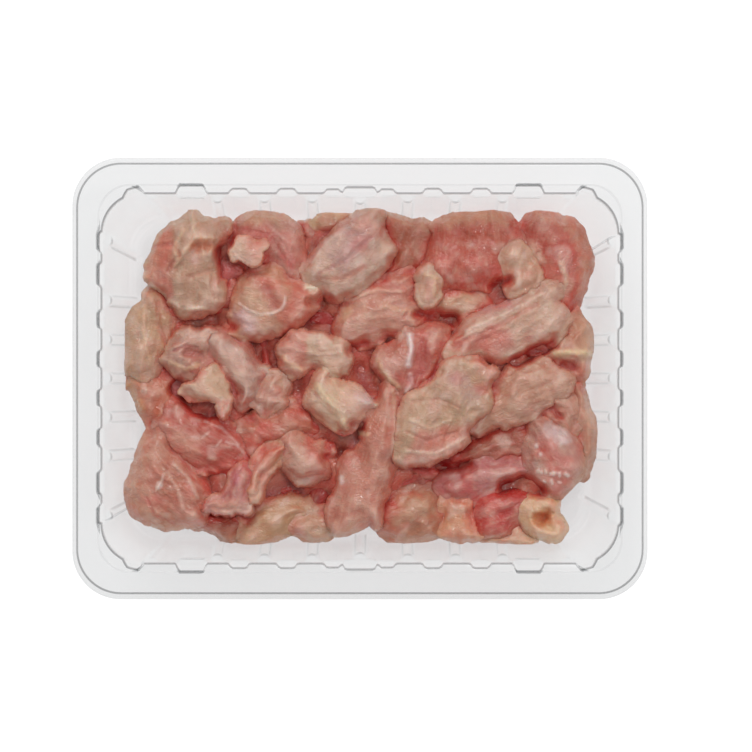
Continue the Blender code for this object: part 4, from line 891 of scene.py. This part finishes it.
def curve_through(points, per_span=5):
    """A closed smooth curve through the points."""
    before, after, later = (np.roll(points, k, axis=0) for k in (1, -1, -2))
    fine = []
    for t in np.linspace(0, 1, per_span, endpoint=False):
        fine.append(0.5 * (2 * points + (after - before) * t
                           + (2 * before - 5 * points + 4 * after - later) * t ** 2
                           + (3 * points - before - 3 * after + later) * t ** 3))
    return np.stack(fine, axis=1).reshape(-1, 2)


def reach_to_line(points, line, closed):
    """Each point's distance to a line of straight stretches."""
    a = line if closed else line[:-1]
    b = np.roll(line, -1, axis=0) if closed else line[1:]
    best = np.full(len(points), 1e9)
    for p, q in zip(a, b):
        along = ((points - p) @ (q - p)) / max(((q - p) ** 2).sum(), 1e-9)
        near = p + np.clip(along, 0, 1)[:, None] * (q - p)
        best = np.minimum(best, ((points - near) ** 2).sum(axis=1))
    return np.sqrt(best)


def within(points, line):
    """Whether each point is inside a closed line."""
    inside = np.zeros(len(points), bool)
    for p, q in zip(line, np.roll(line, -1, axis=0)):
        spans = (p[1] > points[:, 1]) != (q[1] > points[:, 1])
        rise = q[1] - p[1] if q[1] != p[1] else 1.0
        inside ^= spans & (points[:, 0] < p[0] + (points[:, 1] - p[1]) * (q[0] - p[0]) / rise)
    return inside


def kept_inside(verts, margin=0.4, rib=1.7):
    """Points drawn in to stay inside the tray's wall at their height."""
    hx, hy = wall_half(verts[:, 2])
    hx, hy = hx - rib - margin, hy - rib - margin
    x = np.clip(verts[:, 0], -hx, hx)
    y = np.clip(verts[:, 1], -hy, hy)
    radius = FLOOR_RADIUS
    ox, oy = np.abs(x) - (hx - radius), np.abs(y) - (hy - radius)
    reach = np.maximum(np.hypot(ox, oy), 1e-6)
    over = (ox > 0) & (oy > 0) & (reach > radius)
    x = np.where(over, np.sign(x) * (hx - radius + ox * radius / reach), x)
    y = np.where(over, np.sign(y) * (hy - radius + oy * radius / reach), y)
    return np.column_stack([x, y, verts[:, 2]])


def along_grain(verts, angle, stretch):
    """Coordinates squeezed along the grain, so that noise in them draws out into fibres."""
    c, s = math.cos(angle), math.sin(angle)
    return np.column_stack([(verts[:, 0] * c + verts[:, 1] * s) / stretch,
                            -verts[:, 0] * s + verts[:, 1] * c, verts[:, 2]])


def flat3(points):
    """Points in the plane, given a height of 0."""
    return np.column_stack([points, np.zeros(len(points))])


def closed_mask(mask, sigma):
    """A mask with its gaps filled, as a distance from its edge that levels off a few millimetres in."""
    wide = (blurred(mask, sigma) > 0.16).astype(float)
    return (blurred(wide, sigma) - 0.84) * sigma * CELL * 3.0


def raw_shapes():
    """Each lobe's own distance from its outline, on its window of the grid, and the heap's."""
    xs, ys = grid_axes()
    heap = np.zeros((len(xs), len(ys)))
    shapes = []
    for place, (node, values) in enumerate(LOBES.items()):
        top, drop, round_mm, grain, flap, hollow, crumple, outline = values
        seed = 300 + 17 * place
        line = curve_through(placed(outline))
        low, high = line.min(axis=0) - 8, line.max(axis=0) + 8
        ix = np.nonzero((xs >= low[0]) & (xs <= high[0]))[0]
        iy = np.nonzero((ys >= low[1]) & (ys <= high[1]))[0]
        gx, gy = np.meshgrid(xs[ix], ys[iy], indexing="ij")
        points = np.column_stack([gx.ravel(), gy.ravel()])
        ragged = 0.55 + 0.6 * flap + 0.4 * crumple
        flat = flat3(points)
        shift = np.column_stack([noise(flat, 5.5, k) * 1.1 + noise(flat, 2.1, k + 1) * 0.5
                                 for k in (seed, seed + 2)])
        warped = points + shift * ragged
        away = reach_to_line(warped, line, True)
        d = np.where(within(warped, line), away, -away).reshape(gx.shape)
        window = (slice(ix[0], ix[-1] + 1), slice(iy[0], iy[-1] + 1))
        heap[window] = np.maximum(heap[window], d > 0)
        shapes.append({"node": node, "seed": seed, "d": d, "x": gx, "y": gy, "window": window,
                       "edge": top - drop, "drop": drop, "round": round_mm, "flap": flap,
                       "hollow": hollow, "crumple": crumple, "grain": math.radians(grain),
                       "top": top})
    return shapes, heap


def crown_of(s, heap_reach, roof, pits):
    """The lobe's surface before its edge is rounded, tucked under the lobes higher than it."""
    window = s["window"]
    seed, flap, crumple = s["seed"], s["flap"], s["crumple"]
    points = np.column_stack([s["x"].ravel(), s["y"].ravel()])
    deep = max(s["d"].max(), 1.0)
    tuck = min(4.5, 0.28 * max(0.0, 37.0 - s["top"]))
    grow = 0.9 + tuck * smoothstep(heap_reach[window], 0.0, 2.5)
    inner = np.clip(s["d"], 0, None)
    s["d"] = s["d"] + grow
    dome = 1.0 - np.clip(inner / deep, 0, 1)
    rng = np.random.default_rng(seed)
    tilt = rng.uniform(-0.05, 0.05, 2)
    middle = points[inner.ravel() > 0.5 * deep].mean(axis=0)
    flat = flat3(points)
    lumps = (noise(flat, 9.0, 801) * 1.1 + noise(flat, 4.6, seed + 4) * 0.75
             + noise(flat, 2.5, seed + 5) * 0.26)
    bent = flat3(points + np.column_stack([noise(flat, 6.0, seed + 6),
                                           noise(flat, 6.0, seed + 7)]) * 1.8)
    fold = 0.5 - np.abs(noise(along_grain(bent, s["grain"], 2.2), 3.6, seed + 8))
    fine = 0.5 - np.abs(noise(along_grain(bent, s["grain"], 3.0), 1.7, seed + 9))
    height = (s["top"] + (points - middle) @ tilt + lumps
              + fold * (0.30 + 0.85 * crumple) + fine * (0.12 + 0.30 * crumple)).reshape(dome.shape)
    crown = height - s["drop"] * (0.42 - 0.25 * flap) * dome ** 2
    wobble = noise(flat, 1.6, seed + 10).reshape(dome.shape)
    for half, rise, _, _, path in MARKS.get(s["node"], ()):
        near = reach_to_line(points, placed(path), False).reshape(dome.shape)
        near = near + wobble * 0.45 * half
        crown = crown + rise * smoothstep(half * 1.5 - near, 0.0, half * 1.4)
    if s["hollow"]:
        crown = crown - s["hollow"] * 3.0 * smoothstep(inner / deep, 0.45, 1.0)
    crown = crown - pits[window]
    above = roof[window]
    s["crown"] = np.where(above > MEAT_ABOVE, np.minimum(crown, above - 1.0), crown)
    roof[window] = np.where(inner > 0, np.maximum(above, s["crown"]), above)


def crevice_depths():
    """How far the heap is drawn down along its deep clefts."""
    xs, ys = grid_axes()
    gx, gy = np.meshgrid(xs, ys, indexing="ij")
    points = np.column_stack([gx.ravel(), gy.ravel()])
    wobble = noise(flat3(points), 3.0, 71) * 0.8
    down = np.zeros(len(points))
    for half, depth, path in CREVICES:
        away = reach_to_line(points, placed(path), False) + wobble
        down = np.maximum(down, depth * (1 - smoothstep(away, 0.0, half * 2.6)))
    return down.reshape(gx.shape)


def top_layers(shapes, field):
    """For each cell of the grid: the highest lobe's height and number, and the second height."""
    xs, ys = grid_axes()
    first = np.zeros((len(xs), len(ys)))
    second = np.zeros_like(first)
    owner = -np.ones(first.shape, int)
    for k, s in enumerate(shapes):
        window = s["window"]
        z = np.where(s["d"] > 0.2, s[field], 0.0)
        second[window] = np.maximum(second[window], np.minimum(z, first[window]))
        owner[window] = np.where(z > first[window], k, owner[window])
        first[window] = np.maximum(first[window], z)
    return first, second, owner


def settle(shapes):
    """Each lobe's surface comes down at its edge to meet the neighbour that it lies against."""
    first, second, owner = top_layers(shapes, "crown")
    for k, s in enumerate(shapes):
        window = s["window"]
        others = np.where(owner[window] == k, second[window], first[window])
        there = (others > MEAT_ABOVE).astype(float)
        cover = blurred(there, 3.0)
        level = blurred(others * there, 3.0) / np.maximum(cover, 0.02)
        points = np.column_stack([s["x"].ravel(), s["y"].ravel()])
        vary = noise(flat3(points), 8.0, s["seed"] + 31).reshape(s["x"].shape)
        proud = s["flap"] * smoothstep(vary, -0.5, 0.1)
        depth = (1.7 + 1.9 * vary) * (1 - proud) - 0.9 * proud
        target = np.clip(level - depth, s["edge"] - 2.0, s["crown"] - 0.3 * (1 - proud) - 0.35 * proud)
        rim = s["edge"] + (target - s["edge"]) * smoothstep(cover, 0.15, 0.5)
        width = s["round"] * (1 - 0.65 * proud)
        rise = np.sqrt(1.0 - (1.0 - np.clip(s["d"] / width, 0, 1)) ** 2)
        s["z"] = rim + (s["crown"] - rim) * rise
        s["proud"] = proud


def sampled(grid, verts):
    """A grid's value at each vertex, between the four cells round it."""
    fx = np.clip((verts[:, 0] + GRID_HALF[0]) / CELL, 0, grid.shape[0] - 1.001)
    fy = np.clip((verts[:, 1] + GRID_HALF[1]) / CELL, 0, grid.shape[1] - 1.001)
    ix, iy = fx.astype(int), fy.astype(int)
    tx, ty = fx - ix, fy - iy
    return (grid[ix, iy] * (1 - tx) * (1 - ty) + grid[ix + 1, iy] * tx * (1 - ty)
            + grid[ix, iy + 1] * (1 - tx) * ty + grid[ix + 1, iy + 1] * tx * ty)


def waist_at(verts):
    """How near each point is to the wavy join between the upper and lower pieces, from 0 to 1."""
    level = 14.5 + 4.5 * noise(flat3(verts[:, :2]), 16.0, 43)
    return np.exp(-((verts[:, 2] - level) / 2.0) ** 2)


def solid_under(x, y, z, d, foot, under, bulge, keep_above=RIM, cell=CELL):
    """A closed mesh over the cells where d is above the limit: top, walls in rows, flat bottom."""
    inside = d > keep_above
    cells = inside[:-1, :-1] & inside[1:, :-1] & inside[1:, 1:] & inside[:-1, 1:]
    used = np.zeros(x.shape, bool)
    all_four = np.ones(x.shape, bool)
    padded = np.pad(cells, 1)
    for dx in (0, 1):
        for dy in (0, 1):
            part = padded[dx:dx + x.shape[0], dy:dy + x.shape[1]]
            used |= part
            all_four &= part
    index = -np.ones(x.shape, int)
    index[used] = np.arange(used.sum())
    ddx, ddy = np.gradient(d, cell)
    length = np.maximum(np.hypot(ddx, ddy), 0.3)
    nx, ny = (ddx / length)[used], (ddy / length)[used]
    rim = ~all_four[used]
    move = np.where(rim, np.clip(-d[used], -0.5, 0.3), 0.0)
    top = np.column_stack([x[used] + nx * move, y[used] + ny * move, z[used]])
    ci, cj = np.nonzero(cells)
    quads = np.column_stack([index[ci, cj], index[ci + 1, cj], index[ci + 1, cj + 1],
                             index[ci, cj + 1]])
    directed = np.vstack([quads[:, [k, (k + 1) % 4]] for k in range(4)])
    code = directed[:, 0] * len(top) + directed[:, 1]
    back = directed[:, 1] * len(top) + directed[:, 0]
    walls = directed[~np.isin(code, back)]
    n = len(top)
    rim_at = np.nonzero(rim)[0]
    local = -np.ones(n, int)
    local[rim_at] = np.arange(len(rim_at))
    verts, faces, above = [top], [quads], rim_at
    for row in range(1, WALL_ROWS + 1):
        share = row / WALL_ROWS
        ring = top[rim_at].copy()
        ring[:, 2] += (foot - ring[:, 2]) * share
        swell = (noise(ring, 7.0, 41) * 1.3 + noise(ring, 3.2, 42) * 0.5) * min(1.0, 3.0 * share)
        inward = under * (0.55 * math.sqrt(share) + 0.6 * share ** 4) + swell * bulge
        inward = inward + 2.2 * bulge * waist_at(ring)
        ring[:, 0] += nx[rim_at] * inward
        ring[:, 1] += ny[rim_at] * inward
        start = sum(len(v) for v in verts)
        below = start + np.arange(len(rim_at))
        verts.append(ring)
        u, v = local[walls[:, 0]], local[walls[:, 1]]
        faces.append(np.column_stack([above[v], above[u], below[u], below[v]]))
        above = below
    start = sum(len(v) for v in verts)
    bottom = top.copy()
    bottom[:, 2] = foot
    inner = np.nonzero(~rim)[0]
    place = -np.ones(n, int)
    place[inner] = start + np.arange(len(inner))
    place[rim_at] = above
    verts.append(bottom[inner])
    faces.append(place[quads[:, ::-1]])
    return np.vstack(verts), np.vstack(faces), used


def level_near(height, sigma):
    """The height round each cell, averaged over the cells that hold meat."""
    known = (height > MEAT_ABOVE).astype(float)
    return blurred(height * known, sigma) / np.maximum(blurred(known, sigma), 1e-3)


def mixed(colour, other, share):
    """A colour for each vertex, mixed with another by this share."""
    share = np.clip(share, 0, 1)[:, None]
    return colour * (1 - share) + np.asarray(other)[..., :] * share


def washed(colour, tint, strength, where, low, high):
    """The colour with a tint laid over it where this value rises from low to high."""
    return mixed(colour, srgb(*tint), strength * smoothstep(where, low, high))


def tone_map(shapes):
    """Each cell takes the tone of the lobe on top, blurred a little across the joins."""
    _, _, owner = top_layers(shapes, "z")
    tones = np.array([BASE_COLOUR[SLOT[s["node"]]] for s in shapes])
    known = (owner >= 0).astype(float)
    weight = np.maximum(blurred(known, 6.0), 1e-3)
    return [blurred(tones[np.maximum(owner, 0), k] * known, 6.0) / weight for k in range(3)]


def painted(s, verts, normals, used, around, tones, pits, heap_reach):
    """The lobe's own tone with streaks and pale edges, with painted shade (redder and darker) on its
    flanks and in its hollows and joins, and painted highlights on its crests.
    """
    seed, d, proud = s["seed"], s["d"][used], s["proud"][used]
    n_top = len(d)
    own = np.repeat(np.asarray(BASE_COLOUR[SLOT[s["node"]]], float)[None], len(verts), 0)
    shared = np.column_stack([sampled(t, verts) for t in tones])
    near_edge = np.zeros(len(verts)) + 0.5
    near_edge[:n_top] = 0.5 * smoothstep(6.0 - d, 0.0, 5.0)
    colour = own * (1 - near_edge[:, None]) + shared * near_edge[:, None]
    if s["node"] in TINTS:
        tint, share = TINTS[s["node"]]
        colour = mixed(colour, srgb(*tint), np.full(len(verts), share))
    wide = noise(verts, 11.0, 901)
    near = noise(verts, 4.0, seed + 21)
    colour = washed(colour, (224, 182, 160), 0.40, wide + 0.6 * near, 0.0, 0.8)
    colour = washed(colour, (210, 98, 88), 0.56, -wide + 0.6 * near, 0.05, 0.8)
    grey = noise(verts, 5.0, seed + 22)
    colour = washed(colour, (212, 162, 150), 0.30, grey, 0.1, 0.7)
    film = noise(along_grain(verts, s["grain"] + 0.5, 1.8), 3.0, seed + 26)
    colour = washed(colour, (234, 208, 194), 0.34, film, 0.35, 0.8)
    blotch = noise(verts, 1.9, seed + 24)
    colour = washed(colour, (226, 198, 172), 0.15, blotch, 0.15, 0.7)
    colour = washed(colour, (196, 104, 86), 0.13, -blotch, 0.15, 0.7)
    streak = noise(along_grain(verts, s["grain"], 4.0), 1.1, seed + 23)
    colour = washed(colour, (228, 198, 172), 0.18, streak, 0.2, 0.8)
    # Painted shade: steep flanks inside the heap, where the lobes fall into the joins, are painted
    # redder
    steep = smoothstep(1.0 - np.clip(normals[:, 2], 0, 1), 0.22, 0.8)
    inland = smoothstep(sampled(heap_reach, verts), 0.3, 2.6)
    colour = mixed(colour, srgb(214, 98, 78), 0.60 * steep * inland)
    colour = mixed(colour, srgb(224, 180, 148), 0.36 * (1 - inland))
    # Painted shade in the hollows: a point lying below the heap round it is painted redder, then
    # darker, the deeper it lies
    pit_shade = sampled(around, verts) - verts[:, 2] + 0.5 * sampled(pits, verts) + 0.7 * near
    pit_shade = pit_shade * (0.1 + 0.9 * inland)
    pit_shade[n_top:] = np.minimum(pit_shade[n_top:], 2.6)
    colour = washed(colour, (210, 70, 60), 0.80, pit_shade, 0.3, 3.2)
    colour = washed(colour, (194, 30, 30), 0.90, pit_shade, 2.6, 6.6)
    # Painted shade along the wavy join between upper and lower pieces, over the redder meat in that
    # crease
    colour = mixed(colour, srgb(196, 84, 70), 0.6 * (1 - inland) * waist_at(verts))
    # Painted highlight: flat tops standing above the heap round them are painted paler
    crest_highlight = smoothstep(verts[:, 2] - sampled(around, verts), 0.2, 2.6) * (1 - steep)
    colour = mixed(colour, srgb(240, 206, 188), 0.42 * crest_highlight)
    # Painted shade: darker still in the deepest hollows
    colour = colour * (1 - 0.38 * smoothstep(pit_shade, 1.2, 5.2))[:, None]
    hem = np.zeros(len(verts))
    hem[:n_top] = ((0.25 + 0.75 * proud) * smoothstep(1.7 - d, 0.0, 1.4)
                   * smoothstep(near[:n_top], -0.5, 0.2))
    colour = mixed(colour, srgb(228, 198, 168), 0.6 * hem)
    wobble = noise(verts, 1.5, seed + 25)
    for half, _, tint, strength, path in MARKS.get(s["node"], ()):
        away = reach_to_line(verts[:, :2], placed(path), False) + wobble * 0.5 * half
        share = strength * smoothstep(half * 1.7 - away, 0.0, half * 1.6)
        share[n_top:] = 0
        colour = mixed(colour, srgb(*tint), share * (0.85 + 0.15 * blotch))
    return GRADE_MIDDLE * GRADE_GAIN * (colour / GRADE_MIDDLE) ** GRADE_POWER


def add_fields(piece, verts, colour, angle):
    """What the meat's material reads: the painted colour, and places drawn out along the fibres."""
    paint(piece, "tone", colour)
    layer = piece.data.attributes.new("grain", "FLOAT_VECTOR", "POINT")
    grain = along_grain(verts, angle, 5.0) * 0.9
    layer.data.foreach_set("vector", grain.astype(np.float32).ravel())


def finish_lobe(s, material, around, tones, pits, heap_reach):
    """The lobe's mesh, with its colours, in the frame."""
    pull = min(1.0, 0.35 * s["d"].max() / 2.4)
    under = (1.0 + 0.8 * s["flap"]) * pull
    verts, faces, used = solid_under(s["x"], s["y"], s["z"], s["d"], FOOT, under, pull)
    verts = kept_inside(verts)
    normals = vertex_normals(verts, faces)
    piece = new_mesh("meat_" + s["node"], verts, faces, material)
    colour = painted(s, verts, normals, used, around, tones, pits, heap_reach)
    add_fields(piece, verts, colour, s["grain"])
    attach(piece, "root")
    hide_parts(s["node"])


def build_bed(first, heap_reach, material, around):
    """The meat deep between the upper pieces, as one lumpy closed mass under them."""
    smooth = level_near(first, 9.0)
    step = 2
    x, y = np.meshgrid(*[a[::step] for a in grid_axes()], indexing="ij")
    flat = np.column_stack([x.ravel(), y.ravel(), np.zeros(x.size)])
    lumps = (noise(flat, 7.0, 61) * 1.5 + noise(flat, 3.2, 62) * 0.9
             + (0.5 - np.abs(noise(flat, 4.0, 68))) * 1.6).reshape(x.shape)
    d = heap_reach[::step, ::step] - 1.7 + 0.6 * noise(flat, 6.0, 64).reshape(x.shape)
    level = smooth[::step, ::step] - 3.6 + lumps
    z = 5.0 + (np.clip(level, 9, 33) - 5.0) * np.sqrt(smoothstep(d, -0.2, 1.1))
    verts, faces, _ = solid_under(x, y, z, d, foot=1.0, under=1.4, bulge=1.0, keep_above=0.0,
                                  cell=CELL * step)
    verts = kept_inside(verts, margin=1.0, rib=2.2)
    piece = new_mesh("meat_below", verts, faces, material)
    colour = np.repeat(srgb(206, 96, 80)[None], len(verts), 0)
    colour = washed(colour, (214, 140, 118), 0.7, noise(verts, 5.0, 63), -0.2, 0.6)
    colour = washed(colour, (172, 92, 98), 0.5, noise(verts, 7.0, 67), 0.1, 0.6)
    # Painted shade: the deeper a point lies below the heap round it, the redder and darker it is
    # painted
    pit_shade = sampled(around, verts) - verts[:, 2]
    colour = washed(colour, (190, 44, 40), 0.75, pit_shade, 4.0, 9.0)
    colour = colour * (1 - 0.45 * smoothstep(pit_shade, 1.0, 5.0))[:, None]
    rim = 1.0 - smoothstep(sampled(heap_reach, verts), 1.2, 2.7)
    colour = mixed(colour, srgb(214, 158, 130), 0.85 * rim)
    colour = washed(colour, (196, 92, 76), 0.75 * rim, noise(verts, 5.0, 65), 0.0, 0.6)
    colour = washed(colour, (226, 196, 166), 0.6 * rim, noise(verts, 3.0, 66), 0.1, 0.7)
    add_fields(piece, verts, colour, 0.6)
    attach(piece, "root")
    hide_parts("lower_layer")


# Build

meat = meat_material("raw_chicken")
build_tray(plastic_material())
shapes, heap = raw_shapes()
heap_reach = closed_mask(heap, 14.0)
pits = crevice_depths()
roof = np.zeros(heap.shape)
for shape in sorted(shapes, key=lambda s: -s["top"]):
    crown_of(shape, heap_reach, roof, pits)
settle(shapes)
first, _, _ = top_layers(shapes, "z")
around = level_near(first, 8.0)
tones = tone_map(shapes)
for shape in shapes:
    finish_lobe(shape, meat, around, tones, pits, heap_reach)
build_bed(first, heap_reach, meat, around)

floor_mesh = bpy.data.meshes.new("floor")
reach = 4.0
corners = [(-reach, -reach, 0), (reach, -reach, 0), (reach, reach, 0), (-reach, reach, 0)]
floor_mesh.from_pydata(corners, [], [(0, 1, 2, 3)])
floor_mesh.materials.append(floor_material())
floor = bpy.data.objects.new("floor", floor_mesh)
bpy.context.scene.collection.objects.link(floor)


# Light and camera, in metres

HEAP_MIDDLE = (0, 0, 0.02)
CAMERA_ASIDE = (0.0053, 0.0008)
CAMERA_ABOVE_TRAY = 1.3
WORLD_LIGHT = 0.41


def softbox(name, place, size, power):
    """A rectangular lamp that faces the heap."""
    data = bpy.data.lights.new(name, "AREA")
    data.shape = "RECTANGLE"
    data.size, data.size_y = size
    data.energy = power
    light = bpy.data.objects.new(name, data)
    light.location = place
    aim = np.array(HEAP_MIDDLE) - np.array(place)
    light.rotation_mode = "QUATERNION"
    light.rotation_quaternion = Vector(aim).to_track_quat("-Z", "Y")
    bpy.context.scene.collection.objects.link(light)


softbox("softbox_back", (-0.25, 0.95, 0.85), (0.8, 0.5), 5.4)
softbox("softbox_small", (0.14, 0.3, 1.25), (0.12, 0.12), 2.4)
softbox("softbox_right", (0.75, -0.1, 1.0), (0.4, 0.4), 1.6)
world = bpy.data.worlds.new("studio")
world.use_nodes = True
world.node_tree.nodes["Background"].inputs["Color"].default_value = (1.0, 1.0, 1.0, 1.0)
world.node_tree.nodes["Background"].inputs["Strength"].default_value = WORLD_LIGHT
bpy.context.scene.world = world
bpy.context.scene.view_settings.view_transform = "Standard"

camera_data = bpy.data.cameras.new("camera")
camera_data.sensor_width = 36.0
camera_data.lens = 189.3
camera = bpy.data.objects.new("camera", camera_data)
camera.location = (*CAMERA_ASIDE, HEIGHT * MM + CAMERA_ABOVE_TRAY)
bpy.context.scene.collection.objects.link(camera)
bpy.context.scene.camera = camera
